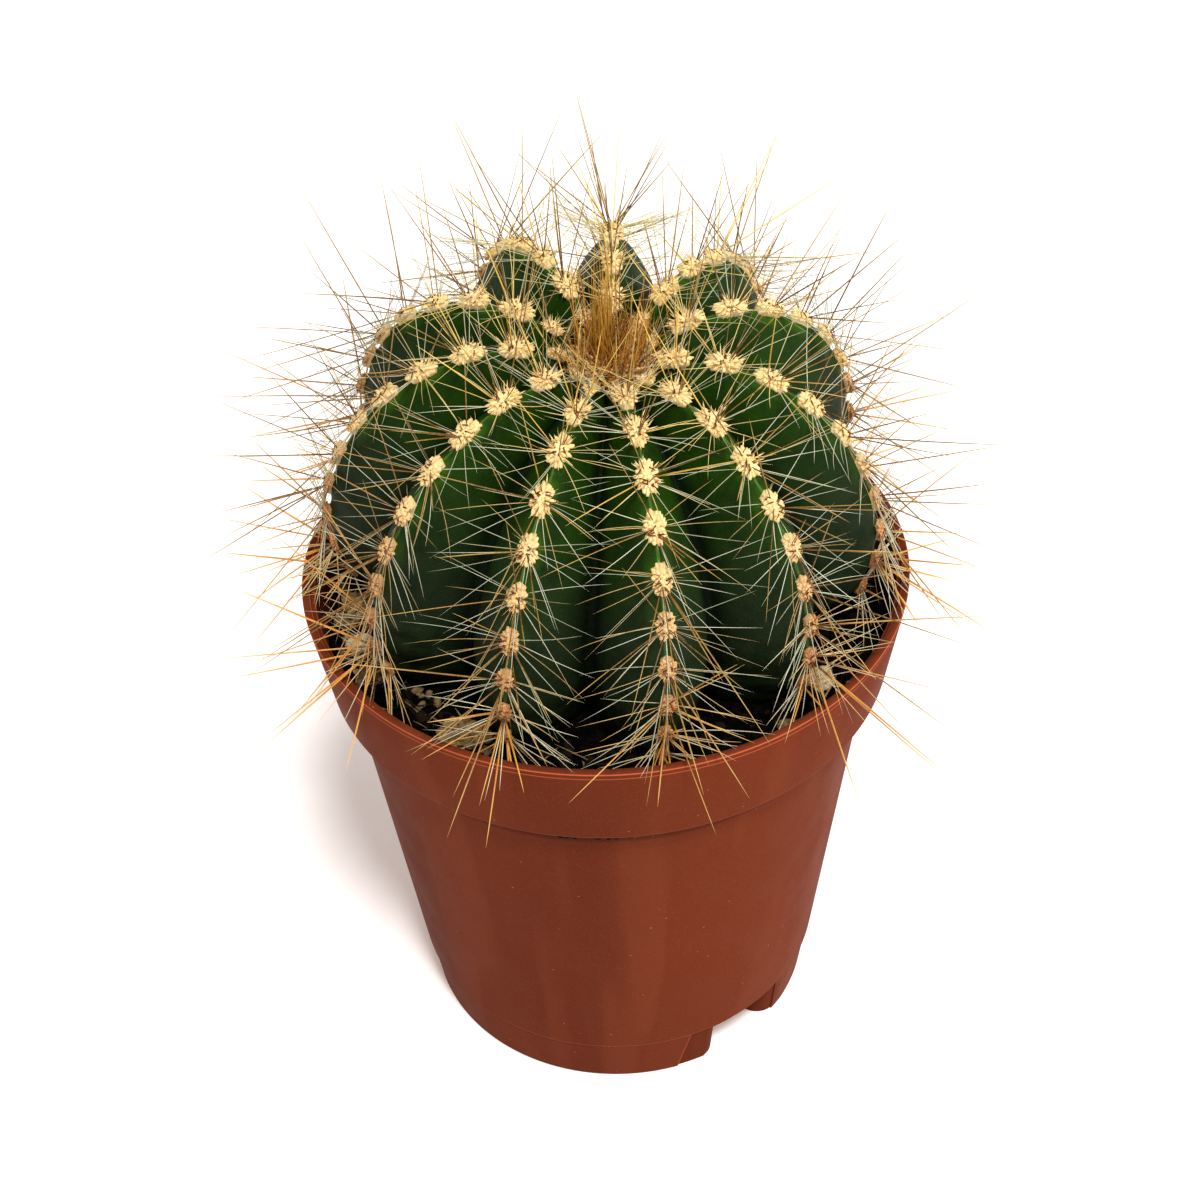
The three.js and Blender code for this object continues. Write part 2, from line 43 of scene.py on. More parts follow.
up = Vector((0, 0, 1))
scene = bpy.context.scene


def tint(red, green, blue):  # a screen colour, 0 to 255, as the linear colour that shaders take
    shares = [channel / 255 for channel in (red, green, blue)]
    linear = [share / 12.92 if share < 0.04 else ((share + 0.055) / 1.055) ** 2.4 for share in shares]
    return (*linear, 1)


def between(draw, span):
    return draw.uniform(span[0], span[1])


def clamp(value, low=0, high=1):
    return min(max(value, low), high)


def polar(distance, azimuth, height=0):
    return Vector((distance * math.cos(azimuth), distance * math.sin(azimuth), height))


# Materials


class Wire:  # a socket of a finish; arithmetic on it adds Math nodes
    def __init__(self, finish, socket):
        self.finish = finish
        self.socket = socket

    def maths(self, operation, first, second):
        return self.finish.node("ShaderNodeMath", {"operation": operation}, {0: first, 1: second})

    def __add__(self, other):
        return self.maths("ADD", self, other)

    def __sub__(self, other):
        return self.maths("SUBTRACT", self, other)

    def __rsub__(self, other):
        return self.maths("SUBTRACT", other, self)

    def __mul__(self, other):
        return self.maths("MULTIPLY", self, other)

    def __pow__(self, other):
        return self.maths("POWER", self, other)

    __radd__ = __add__
    __rmul__ = __mul__


class Finish:  # a material in the making
    def __init__(self, name, fixed):
        self.material = bpy.data.materials.new(name)
        self.material.use_nodes = True
        self.tree = self.material.node_tree
        self.tree.nodes.clear()
        self.shader = self.tree.nodes.new("ShaderNodeBsdfPrincipled")
        output = self.tree.nodes.new("ShaderNodeOutputMaterial")
        self.tree.links.new(self.shader.outputs[0], output.inputs["Surface"])
        for socket, value in fixed.items():
            self.shader.inputs[socket].default_value = value

    def node(self, kind, settings=None, inputs=None, out=0):
        made = self.tree.nodes.new(kind)
        for setting, value in (settings or {}).items():
            setattr(made, setting, value)
        for socket, value in (inputs or {}).items():
            self.join(value, made.inputs[socket])
        return Wire(self, made.outputs[out])

    def join(self, value, socket):
        if isinstance(value, Wire):
            self.tree.links.new(value.socket, socket)
        else:
            socket.default_value = value

    def place(self, stretch=(1, 1, 1), turn=(0, 0, 0)):  # object coordinates, in millimetres
        coordinates = self.node("ShaderNodeTexCoord", out="Object")
        scale = tuple(part / millimetre for part in stretch)
        inputs = {"Vector": coordinates, "Scale": scale, "Rotation": turn}
        return self.node("ShaderNodeMapping", {}, inputs)

    def cloud(self, size, detail=3, rough=0.5, where=None):  # noise about 0.5, in patches of that size
        inputs = {"Vector": where or self.place(), "Scale": 1 / size}
        inputs |= {"Detail": detail, "Roughness": rough}
        return self.node("ShaderNodeTexNoise", {}, inputs)

    def cells(self, size):  # distance from scattered points, 0 at each
        inputs = {"Vector": self.place(), "Scale": 1 / size}
        return self.node("ShaderNodeTexVoronoi", {"feature": "F1"}, inputs)

    def grown(self, name):  # a value that the mesh carries at its points
        return self.node("ShaderNodeAttribute", {"attribute_name": name}, out="Fac")

    def fade(self, value, low, high, toLow=0, toHigh=1):  # smooth, and held at both ends
        inputs = {"Value": value, "From Min": low, "From Max": high, "To Min": toLow, "To Max": toHigh}
        return self.node("ShaderNodeMapRange", {"interpolation_type": "SMOOTHSTEP"}, inputs)

    def blend(self, share, first, second):  # the second colour over the first
        inputs = {0: share, 6: first, 7: second}
        return self.node("ShaderNodeMix", {"data_type": "RGBA"}, inputs, out=2)

    def relief(self, height, depth, before=None):  # a bump of that depth in millimetres
        inputs = {"Height": height, "Distance": depth * millimetre}
        if before:
            inputs["Normal"] = before
        return self.node("ShaderNodeBump", {}, inputs)

    def wear(self, **links):  # joins what varies to the shader
        for name, value in links.items():
            self.join(value, self.shader.inputs[name.replace("_", " ")])
        return self.material


# Pieces


def addPiece(name, bm, material, nodes):
    bmesh.ops.scale(bm, vec=(millimetre,) * 3, verts=bm.verts)
    mesh = bpy.data.meshes.new(name)
    bm.to_mesh(mesh)
    bm.free()
    mesh.shade_smooth()
    mesh.materials.append(material)
    piece = bpy.data.objects.new(name, mesh)
    scene.collection.objects.link(piece)
    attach(piece, "root")
    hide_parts(*nodes)
    print(f"{name}: {len(mesh.polygons)} faces")
    return piece


def asSolid(name, bm):  # an object of its own, such as a boolean needs
    mesh = bpy.data.meshes.new(name)
    bm.to_mesh(mesh)
    bm.free()
    solid = bpy.data.objects.new(name, mesh)
    scene.collection.objects.link(solid)
    return solid


def boolean(solid, operation, cutter):  # done at once, and the cutter is removed
    change = solid.modifiers.new("boolean", "BOOLEAN")
    change.operation = operation
    change.object = cutter
    bpy.context.view_layer.update()
    graph = bpy.context.evaluated_depsgraph_get()
    cut = bpy.data.meshes.new_from_object(solid.evaluated_get(graph))
    solid.modifiers.clear()
    solid.data = cut
    bpy.data.objects.remove(cutter)


def takeMesh(solid):  # back to a bmesh, and the object is removed
    bm = bmesh.new()
    bm.from_mesh(solid.data)
    bpy.data.objects.remove(solid)
    return bm


def roundCorners(bm, corners, rounding, segments):  # rounding maps a corner's index to its size
    for index, size in rounding.items():
        bmesh.ops.bevel(
            bm, geom=[corners[index]], affect="VERTICES", offset=size,
            segments=segments, profile=0.5, material=-1,
        )


def turned(outline, steps, rounding=None):  # spins an outline of (radius, height) about the axis
    bm = bmesh.new()
    corners = [bm.verts.new((radius, 0, height)) for radius, height in outline]
    for pair in zip(corners, corners[1:]):
        bm.edges.new(pair)
    roundCorners(bm, corners, rounding or {}, 4)
    bmesh.ops.spin(
        bm, geom=bm.verts[:] + bm.edges[:], cent=(0, 0, 0), axis=up,
        angle=math.tau, steps=steps, use_merge=True,
    )
    bmesh.ops.remove_doubles(bm, verts=bm.verts, dist=0.001)
    bmesh.ops.recalc_face_normals(bm, faces=bm.faces)
    return bm


def smoothStops(stops, at):  # a smooth value between stops of (place, value), level at both ends
    last = len(stops) - 1
    upper = next((index for index, stop in enumerate(stops) if stop[0] >= at), last)
    upper = clamp(upper, 1, last)
    start, low = stops[upper - 1]
    end, high = stops[upper]
    slopeStart = 0 if upper == 1 else (high - stops[upper - 2][1]) / (end - stops[upper - 2][0])
    slopeEnd = 0 if upper == last else (stops[upper + 1][1] - low) / (stops[upper + 1][0] - start)
    span = end - start
    share = (at - start) / span
    enter = share * share * (3 - 2 * share)
    leave = share * (1 - share) ** 2 * span
    arrive = share * share * (share - 1) * span
    return low + (high - low) * enter + slopeStart * leave + slopeEnd * arrive


# Camera, light and floor

studio = {
    "cameraPlace": (0, -0.24702, 0.28282),  # metres
    "cameraAim": (-0.001827, 0, 0.070432),
    "cameraRoll": -2.525,
    "lens": 68.745,
    "sunFrom": (0.1, -0.41, 0.78),  # the side that the light comes from
    "sunStrength": 2.8,
    "sunWidth": 9,
    "sky": 0.5,
    "windowPlace": (0.75, -0.25, 0.32),  # a soft panel at the right
    "windowAim": (0, 0, 0.05),
    "windowSize": 0.5,
    "windowPower": 3.3,
    "floorHalf": 1.5,
    "floorDrop": 0.02,  # millimetres under the pot's foot
    "floorGlow": 0.2,
    "glowColour": (1, 0.75, 0.6, 1),
    "paper": ((0.91, 0.87, 0.86, 1), (0.94, 0.9, 0.89, 1)),
}


def makeStudio():
    lens = bpy.data.cameras.new("camera")
    lens.lens = studio["lens"]
    camera = bpy.data.objects.new("camera", lens)
    place = Vector(studio["cameraPlace"])
    looking = (Vector(studio["cameraAim"]) - place).to_track_quat("-Z", "Y").to_matrix().to_4x4()
    roll = Matrix.Rotation(math.radians(studio["cameraRoll"]), 4, "Z")
    camera.matrix_world = Matrix.Translation(place) @ looking @ roll
    scene.collection.objects.link(camera)
    scene.camera = camera

    light = bpy.data.lights.new("sun", "SUN")
    light.energy = studio["sunStrength"]
    light.angle = math.radians(studio["sunWidth"])
    sun = bpy.data.objects.new("sun", light)
    sun.rotation_euler = Vector(studio["sunFrom"]).to_track_quat("Z", "Y").to_euler()
    scene.collection.objects.link(sun)

    panel = bpy.data.lights.new("window", "AREA")
    panel.energy = studio["windowPower"]
    panel.size = studio["windowSize"]
    window = bpy.data.objects.new("window", panel)
    window.location = studio["windowPlace"]
    facing = Vector(studio["windowPlace"]) - Vector(studio["windowAim"])
    window.rotation_euler = facing.to_track_quat("Z", "Y").to_euler()
    scene.collection.objects.link(window)

    world = bpy.data.worlds.new("white room")
    world.use_nodes = True
    background = world.node_tree.nodes["Background"]
    background.inputs["Color"].default_value = (1, 1, 1, 1)
    background.inputs["Strength"].default_value = studio["sky"]
    scene.world = world
    scene.view_settings.view_transform = "Standard"

    bm = bmesh.new()
    bmesh.ops.create_grid(bm, x_segments=8, y_segments=8, size=studio["floorHalf"])
    bmesh.ops.translate(bm, vec=(0, 0, -studio["floorDrop"] * millimetre), verts=bm.verts)
    floor = asSolid("floor", bm)
    paper = Finish("white_paper", {
        "Specular IOR Level": 0.1,
        "Emission Color": studio["glowColour"],
        "Emission Strength": studio["floorGlow"],
    })
    mottle = paper.cloud(30, 2)
    floor.data.materials.append(paper.wear(
        Base_Color=paper.blend(mottle, *studio["paper"]),
        Roughness=paper.fade(mottle, 0.3, 0.7, 0.85, 0.95),
        Normal=paper.relief(paper.cloud(0.5), 0.02),
    ))


makeStudio()
print("studio made")

# Pot

pot = {
    "height": 77.9,
    "rimRadius": 42.5,
    "bandHeight": 14.4,
    "bandFootRadius": 40.1,
    "shoulderRadius": 37.7,
    "skirtTopRadius": 30.8,
    "skirtHeight": 8.7,
    "skirtInset": 0.35,
    "footRadius": 29.3,
    "wall": 1.2,
    "lipWidth": 1.9,
    "lipBead": 1.2,
    "lipDrop": 0.7,
    "lipSlope": 0.4,  # how far the ledge inside the lip falls
    "floorUnderside": 6.6,
    "floorTop": 8.1,
    "steps": 192,
    "rounding": {  # of each corner of the outline in makePot
        1: 0.4, 3: 0.35, 4: 0.12, 5: 0.15, 6: 0.3, 7: 0.45, 8: 0.5, 9: 0.4, 10: 0.2, 11: 0.3, 14: 1.2,
    },
    "sharpFrom": math.radians(32),  # edges bent more than this look sharp
}
recess = {  # at each drain: a shallow step in the skirt, and a flared channel with a hole over it
    "azimuths": (-51, 129),
    "span": 42,  # degrees that the step takes
    "inset": 0.35,
    "taper": 1.2,  # how far the step runs out at its far end, over its inset
    "slant": math.radians(0.46),  # of the step's near edge, for each mm of height
    "steps": 24,
    "below": -1,  # cutters start this low, so that they pass through the foot
    "roof": 7.3,
    "width": 7.6,
    "corner": 3.2,
    "mouth": 28,  # from the pot's axis
    "end": 22,
    "drainRadius": 2.6,
    "drainDepth": 4,
    "drainSides": 40,
    "overlap": 0.2,  # of the channel's walls with the floor over them
    "farOut": 40,  # cutters end this far out, past the skirt
}
bandFoot = pot["height"] - pot["bandHeight"]
shelfHeight = bandFoot + pot["wall"]
skirtSlope = (pot["skirtTopRadius"] - pot["skirtInset"] - pot["footRadius"]) / pot["skirtHeight"]


def bodyRadius(height):
    share = (height - pot["skirtHeight"]) / (bandFoot - pot["skirtHeight"])
    return pot["skirtTopRadius"] + (pot["shoulderRadius"] - pot["skirtTopRadius"]) * share


def bandRadius(height):
    share = (height - bandFoot) / pot["bandHeight"]
    return pot["bandFootRadius"] + (pot["rimRadius"] - pot["bandFootRadius"]) * share


def innerRadius(height):
    outer = bandRadius(height) if height > shelfHeight else bodyRadius(height)
    return outer - pot["wall"]


def upright(plan, rounding, low, high, azimuth, slope):
    # A plan of (outward, across) raised from low to high, leaning out by slope and turned to an azimuth.
    bm = bmesh.new()
    corners = [bm.verts.new((outward, across, low)) for outward, across in plan]
    for pair in zip(corners, corners[1:] + corners[:1]):
        bm.edges.new(pair)
    roundCorners(bm, corners, rounding, 10)
    bmesh.ops.contextual_create(bm, geom=bm.edges[:])
    raised = bmesh.ops.extrude_face_region(bm, geom=bm.faces[:])["geom"]
    topCorners = [part for part in raised if isinstance(part, bmesh.types.BMVert)]
    bmesh.ops.translate(bm, vec=(0, 0, high - low), verts=topCorners)
    for vert in bm.verts:
        vert.co.x += slope * vert.co.z
    turn = Matrix.Rotation(math.radians(azimuth), 3, "Z")
    bmesh.ops.rotate(bm, cent=(0, 0, 0), matrix=turn, verts=bm.verts)
    bmesh.ops.recalc_face_normals(bm, faces=bm.faces)
    return asSolid("upright", bm)


def channel(walls, azimuth):  # the flared drain channel; walls grow it into the skirt
    half = recess["width"] / 2 + walls
    curve = recess["corner"] - walls
    wide = recess["width"] / 2 + recess["corner"]
    mouth = recess["mouth"] - walls
    tail = recess["end"] - half
    side = [(recess["farOut"], wide), (mouth, wide), (mouth, half), (tail, half)]
    plan = side + [(outward, -across) for outward, across in reversed(side)]
    rounding = {2: curve - 0.01, 3: half - 0.01, 4: half - 0.01, 5: curve - 0.01}
    return upright(plan, rounding, recess["below"], recess["roof"], azimuth, skirtSlope)


def skirtStep(azimuth):  # what the shallow step takes off the skirt's face
    low, high = recess["below"], pot["skirtHeight"] - pot["skirtInset"]
    face = pot["footRadius"] - recess["inset"]
    middle = math.radians(azimuth)
    half = math.radians(recess["span"] / 2)
    bm = bmesh.new()
    outline = [
        (face + skirtSlope * low, low), (recess["farOut"], low),
        (recess["farOut"], high), (face + skirtSlope * high, high),
    ]
    corners = [bm.verts.new((radius, 0, height)) for radius, height in outline]
    bmesh.ops.contextual_create(bm, geom=corners)
    start = Matrix.Rotation(middle - half, 3, "Z")
    bmesh.ops.rotate(bm, cent=(0, 0, 0), matrix=start, verts=bm.verts)
    bmesh.ops.spin(
        bm, geom=bm.verts[:] + bm.edges[:] + bm.faces[:], cent=(0, 0, 0), axis=up,
        angle=2 * half, steps=recess["steps"],
    )
    for vert in bm.verts:  # the step starts on a slant, and runs out gently at its far end
        off = (math.atan2(vert.co.y, vert.co.x) - middle + math.pi) % math.tau - math.pi
        turn = recess["slant"] * (vert.co.z - pot["skirtHeight"] / 2) * clamp(-off / half)
        vert.co = Matrix.Rotation(turn, 3, "Z") @ vert.co
        off += turn
        if math.hypot(vert.co.x, vert.co.y) < recess["farOut"] - 1:
            shift = recess["inset"] * recess["taper"] * clamp(off / half * 2 - 1)
            vert.co += polar(shift, middle + off)
    bmesh.ops.recalc_face_normals(bm, faces=bm.faces)
    return asSolid("skirt_step", bm)


potColours = {
    "deep": tint(93, 40, 22),
    "main": tint(103, 45, 24),
    "streak": tint(124, 62, 38),
    "fleck": tint(150, 74, 48),
    # the colour of the painted highlight lines along edges
    "edge": tint(214, 104, 66),
    "dust": tint(214, 190, 168),
    "shade": tint(66, 24, 12),
    # dark colour of grime specks, and of the painted shade under the band
    "grimeAndShade": tint(34, 18, 12),
}


def potPlastic():
    plastic = Finish("pot_plastic", {"Specular IOR Level": 0.01, "IOR": 1.5})
    place = plastic.place()
    x, y, height = (plastic.node("ShaderNodeSeparateXYZ", {}, {0: place}, out=axis) for axis in "XYZ")
    radius = (x * x + y * y) ** 0.5
    top, skirtTop = pot["height"], pot["skirtHeight"]

    def belt(low, high, soft=0.1):  # 1 between two heights
        return plastic.fade(height, low, low + soft) * plastic.fade(height, high, high - soft)

    flow = plastic.cloud(26, 2, 0.45, plastic.place((1, 1, 0.3)))
    grain = plastic.cloud(0.35, 2)
    haze = plastic.cloud(7, 4, 0.6)
    colour = plastic.blend(plastic.fade(flow, 0.35, 0.65), potColours["deep"], potColours["main"])
    # painted sheen: soft lighter vertical streaks on the plastic
    sheenStreaks = plastic.cloud(9, 2, 0.4, plastic.place((1, 1, 0.04)))
    colour = plastic.blend(plastic.fade(sheenStreaks, 0.5, 0.62, 0, 0.22), colour, potColours["streak"])
    colour = plastic.blend(plastic.fade(grain, 0.45, 0.75, 0, 0.12), colour, potColours["fleck"])
    # Painted highlights: light lines on the lip's bead and ledge, the tops of skirt and step, and the
    # band's foot.
    fromBead = radius - (pot["rimRadius"] - pot["lipBead"] / 2)
    bead = plastic.fade(fromBead**2, 0.17, 0.26) * plastic.fade(height, top - 0.45, top - 0.25)
    ledge = belt(top - 1.25, top - 0.95)
    skirt = belt(skirtTop - 0.4, skirtTop + 0.15, 0.2)
    band = belt(bandFoot + 0.1, bandFoot + 0.5)
    nearEnd = math.radians(recess["azimuths"][0] - recess["span"] / 2)
    start = nearEnd - recess["slant"] * skirtTop / 2
    aside = x * math.sin(start) - y * math.cos(start)
    aside += height * recess["slant"] * (x * math.cos(start) + y * math.sin(start))
    stepHighlight = plastic.fade(aside**2, 0.08, 0.01) * plastic.fade(height, skirtTop - 0.1, skirtTop - 0.3)
    # painted shade: the faces inside each drain recess are darkened with the shade colour
    fromFace = radius - height * skirtSlope - pot["footRadius"]
    inset = plastic.fade(fromFace, -0.08, -0.22) * plastic.fade(height, skirtTop - 0.3, skirtTop - 0.5)
    colour = plastic.blend(inset * 0.4, colour, potColours["shade"])
    # painted highlights: the edge colour laid along these lines
    edges = bead * 0.8 + ledge * 0.4 + skirt * 0.75 + band * 0.1 + stepHighlight * 0.18
    colour = plastic.blend(edges, colour, potColours["edge"])
    dust = plastic.fade(plastic.cells(2.2), 0.08, 0.04) * plastic.fade(haze, 0.46, 0.58)
    colour = plastic.blend(dust * 0.2, colour, potColours["dust"])
    belowBand = plastic.fade(height, bandFoot + 0.12, bandFoot)
    under = plastic.fade(height, bandFoot - 3.5, bandFoot - 1.7) * belowBand
    spill = plastic.fade(x, -19, -13) * plastic.fade(x, 2, -5) * plastic.fade(y, -20, -28)
    # dark specks of grime under the band, thickest at the front left
    grimeAndShade = under * (spill * 0.8 + 0.2) * plastic.fade(plastic.cloud(1, 4, 0.7), 0.48, 0.6)
    # painted shade: a darker strip on the body under the band's overhang
    corner = plastic.fade(height, bandFoot - 4, bandFoot - 3) * belowBand
    colour = plastic.blend(corner * 0.45, colour, potColours["grimeAndShade"])
    colour = plastic.blend(grimeAndShade * 0.85, colour, potColours["grimeAndShade"])
    rough = plastic.fade(haze, 0.3, 0.7, 0.5, 0.6) + dust * 0.3
    relief = plastic.relief(grain, 0.012)
    relief = plastic.relief(plastic.cloud(9, 2), 0.02, relief)
    return plastic.wear(Base_Color=colour, Roughness=rough, Normal=relief)


def makePot():
    skirtInnerTop = pot["footRadius"] + skirtSlope * pot["floorUnderside"] - pot["wall"]
    rim = pot["rimRadius"]
    bm = turned([
        (0, pot["floorUnderside"]),
        (skirtInnerTop, pot["floorUnderside"]),
        (pot["footRadius"] - pot["wall"], 0),
        (pot["footRadius"], 0),
        (pot["skirtTopRadius"] - pot["skirtInset"], pot["skirtHeight"] - pot["skirtInset"]),
        (pot["skirtTopRadius"], pot["skirtHeight"]),
        (pot["shoulderRadius"], bandFoot),
        (pot["bandFootRadius"], bandFoot),
        (rim, pot["height"]),
        (rim - pot["lipBead"], pot["height"]),
        (rim - pot["lipBead"], pot["height"] - pot["lipDrop"]),
        (rim - pot["lipWidth"], pot["height"] - pot["lipDrop"] - pot["lipSlope"]),
        (innerRadius(shelfHeight + 0.01), shelfHeight),
        (innerRadius(shelfHeight), shelfHeight),
        (innerRadius(pot["floorTop"]), pot["floorTop"]),
        (0, pot["floorTop"]),
    ], pot["steps"], pot["rounding"])
    solid = asSolid("pot_solid", bm)
    for azimuth in recess["azimuths"]:
        foot = asSolid("foot", turned([
            (0, 0),
            (pot["footRadius"] - pot["wall"] / 2, 0),
            (skirtInnerTop + pot["wall"] / 2, pot["floorUnderside"] + recess["overlap"]),
            (0, pot["floorUnderside"] + recess["overlap"]),
        ], pot["steps"]))
        surround = channel(pot["wall"], azimuth)
        boolean(surround, "INTERSECT", foot)
        boolean(solid, "UNION", surround)
        boolean(solid, "DIFFERENCE", skirtStep(azimuth))
        boolean(solid, "DIFFERENCE", channel(0, azimuth))
        drain = polar(recess["end"], math.radians(azimuth), pot["floorTop"])
        hole = bmesh.new()
        bmesh.ops.create_cone(
            hole, cap_ends=True, segments=recess["drainSides"], depth=recess["drainDepth"],
            radius1=recess["drainRadius"], radius2=recess["drainRadius"],
            matrix=Matrix.Translation(drain),
        )
        boolean(solid, "DIFFERENCE", asSolid("drain", hole))
    piece = addPiece("plant_pot", takeMesh(solid), potPlastic(), ["pot"])
    piece.data.set_sharp_from_angle(angle=pot["sharpFrom"])


makePot()

# Cactus body

plant = {
    "ribs": 11,
    "firstRib": -111.6,  # azimuth, degrees
    "sway": (0, -0.8, -0.6, 0, 3.5, 0.4, 2.6, -0.6, 2.6, 0.3, -0.8),  # degrees off an even spacing
    "centre": 86,
    "crest": (  # angle above the equator, distance of a rib's crest from the centre
        (-90, 30), (-60, 31), (-45, 32.4), (-30, 34.6), (-15, 36.7), (0, 37.6),
        (20, 38.1), (40, 38.2), (60, 36.6), (75, 32.7), (90, 27.1),
    ),
    "valley": (  # angle above the equator, the groove's distance over the crest's
        (-90, 1), (-60, 0.95), (-30, 0.8), (-15, 0.76), (20, 0.75),
        (40, 0.76), (60, 0.8), (75, 0.88), (90, 1),
    ),
    "fullness": 0.45,
    "leanPivot": 72,
    "leanForward": 12,
    "leanSideways": 2.9,
    "offset": (-0.55, 4.5),
    "pitch": 6.3,  # from areole to areole
    "phase": (0.79, 0.19, 0.66, 0.16, 0.54, 0.74, 0.24, 0.74, 0.96, 0.74, 0.46),  # of a pitch
    "areoleZone": 7.2,  # least distance of an areole from the plant's axis
    "areoleRise": 1.6,  # least height of an areole above the soil
    "topAngle": 88,  # angles above the equator between which areoles are sought
    "bottomAngle": -45,
    "angleStep": 0.25,
    "oldAngle": -33,  # where the oldest areoles are
    "crown": {"inset": 5, "least": 3.9, "size": 0.62, "share": 0.4},  # the youngest areole of each rib
    "soilLevel": 69.4,
    "columns": 24,  # per rib
    "rows": 170,
    "closeRows": 0.86,  # share of the rows above bottomAngle; the rest lie inside the soil
    "meanCrest": 37,
    "chin": 0.42,  # swelling of the crest at each areole
    "wobble": 0.35,
    "wobbleGrain": 4,
}
leanForward = Matrix.Rotation(math.radians(plant["leanForward"]), 4, "X")
leanSideways = Matrix.Rotation(math.radians(plant["leanSideways"]), 4, "Y")
leanTurn = leanForward @ leanSideways
standing = Matrix.Translation((*plant["offset"], plant["leanPivot"]))
lean = standing @ leanTurn @ Matrix.Translation((0, 0, -plant["leanPivot"]))
leanBack = lean.inverted()
ribStep = 360 / plant["ribs"]


def ribAzimuth(place):  # in radians; whole places are crests, halves are grooves
    lower = math.floor(place)
    share = place - lower
    before = plant["sway"][lower % plant["ribs"]]
    after = plant["sway"][(lower + 1) % plant["ribs"]]
    sway = before * (1 - share) + after * share
    return math.radians(plant["firstRib"] + place * ribStep + sway)


def skinDistance(angle, place):
    crest = smoothStops(plant["crest"], angle)
    valley = crest * smoothStops(plant["valley"], angle)
    fromCrest = abs(place - round(place)) * 2
    fall = (1 - plant["fullness"]) * fromCrest + plant["fullness"] * fromCrest**2.2
    return crest - (crest - valley) * fall


def skinPoint(angle, place, swell=0):  # in the plant's own upright frame
    distance = skinDistance(angle, place) + swell
    tilt = math.radians(angle)
    height = plant["centre"] + distance * math.sin(tilt)
    return polar(distance * math.cos(tilt), ribAzimuth(place), height)


def crestAngles(rib):  # the places of a rib's areoles, one pitch apart
    angles = []
    travelled = plant["pitch"] * (1 - plant["phase"][rib])
    last = None
    for step in range(round((plant["topAngle"] - plant["bottomAngle"]) / plant["angleStep"])):
        angle = plant["topAngle"] - step * plant["angleStep"]
        point = skinPoint(angle, rib)
        if math.hypot(point.x, point.y) < plant["areoleZone"]:
            continue
        if last:
            travelled += (point - last).length
        last = point
        if travelled >= plant["pitch"] and (lean @ point).z > plant["soilLevel"] + plant["areoleRise"]:
            travelled -= plant["pitch"]
            angles.append(angle)
    return angles


def seatAt(angle, rib, size=1, share=1):  # an areole; share is of the spines of a full one
    middle = lean @ skinPoint(angle, rib)
    along = (lean @ skinPoint(angle + 1, rib) - middle).normalized()
    azimuth = ribAzimuth(rib)
    across = (leanTurn @ Vector((-math.sin(azimuth), math.cos(azimuth), 0))).normalized()
    age = clamp((plant["topAngle"] - angle) / (plant["topAngle"] - plant["oldAngle"]))
    return {
        "middle": middle, "along": along, "across": across, "out": across.cross(along).normalized(),
        "angle": angle, "age": age, "size": size, "share": share,
        "pad": size * (1.1 - 0.4 * clamp((age - 0.3) / 0.7)),  # the size of its wool
    }


ribAngles = [crestAngles(rib) for rib in range(plant["ribs"])]
seats = [seatAt(angle, rib) for rib, angles in enumerate(ribAngles) for angle in angles]


def crownSeat(rib):  # the youngest areole of a rib, small, at the edge of the crown's wool
    crown = plant["crown"]
    distance = plant["areoleZone"] + plant["phase"][rib] * plant["pitch"] - crown["inset"]
    distance = max(distance, crown["least"])
    angle = plant["topAngle"]
    while math.hypot(*skinPoint(angle, rib).xy) < distance:
        angle -= plant["angleStep"]
    return seatAt(angle, rib, crown["size"], crown["share"])


crownSeats = [crownSeat(rib) for rib in range(plant["ribs"])]

skinColours = {
    "low": tint(27, 38, 20),
    "top": tint(28, 56, 4),
    "dark": tint(14, 26, 8),
    "bloom": tint(58, 70, 46),
    "groove": tint(5, 10, 5),
    "crest": tint(84, 116, 52),
    "bud": tint(84, 134, 28),
    "pore": tint(84, 104, 70),
}


def cactusSkin():
    skin = Finish("cactus_skin", {"Specular IOR Level": 0.05, "IOR": 1.45})
    crest = skin.grown("crest")
    height = skin.grown("height")
    bud = skin.grown("bud")
    mottle = skin.cloud(5, 4, 0.6)
    colour = skin.blend(skin.fade(height, 0.48, 0.9), skinColours["low"], skinColours["top"])
    colour = skin.blend(skin.fade(mottle, 0.35, 0.7, 0, 0.6), colour, skinColours["dark"])
    bloom = skin.fade(height, 0.6, 0.15) * skin.fade(skin.cloud(3, 4, 0.65), 0.42, 0.7)
    colour = skin.blend(bloom * 0.4, colour, skinColours["bloom"])
    # painted shade: the grooves between the ribs are darkened
    colour = skin.blend(skin.fade(crest, 0.3, 0.02, 0, 0.85), colour, skinColours["groove"])
    ridge = skin.fade(crest, 0.965, 0.988) * skin.fade(height, 0.3, 0.7, 0.25, 0.6)
    colour = skin.blend(ridge, colour, skinColours["crest"])
    colour = skin.blend(bud * skin.fade(height, 0.45, 0.9, 0.08, 0.85), colour, skinColours["bud"])
    pores = skin.fade(skin.cells(0.42), 0.2, 0.08)
    colour = skin.blend(pores * 0.2, colour, skinColours["pore"])
    rough = skin.fade(mottle, 0.3, 0.7, 0.5, 0.62)
    relief = skin.relief(skin.cloud(0.5, 3), 0.05)
    relief = skin.relief(skin.cloud(3.5, 2), 0.25, relief)
    return skin.wear(Base_Color=colour, Roughness=rough, Normal=relief)


def nearAreole(rib, angle):  # 1 at an areole of that rib, 0 half a pitch away
    span = plant["pitch"] / plant["meanCrest"] / math.radians(1)
    nearest = min(abs(angle - at) for at in ribAngles[rib % plant["ribs"]])
    return clamp(1 - 2 * nearest / span)


def rowAngle(share):  # share is 0 at the top row and 1 at the bottom one
    bottom, close = plant["bottomAngle"], plant["closeRows"]
    if share < close:
        return 90 - (90 - bottom) * share / close
    return bottom - (90 + bottom) * (share - close) / (1 - close)


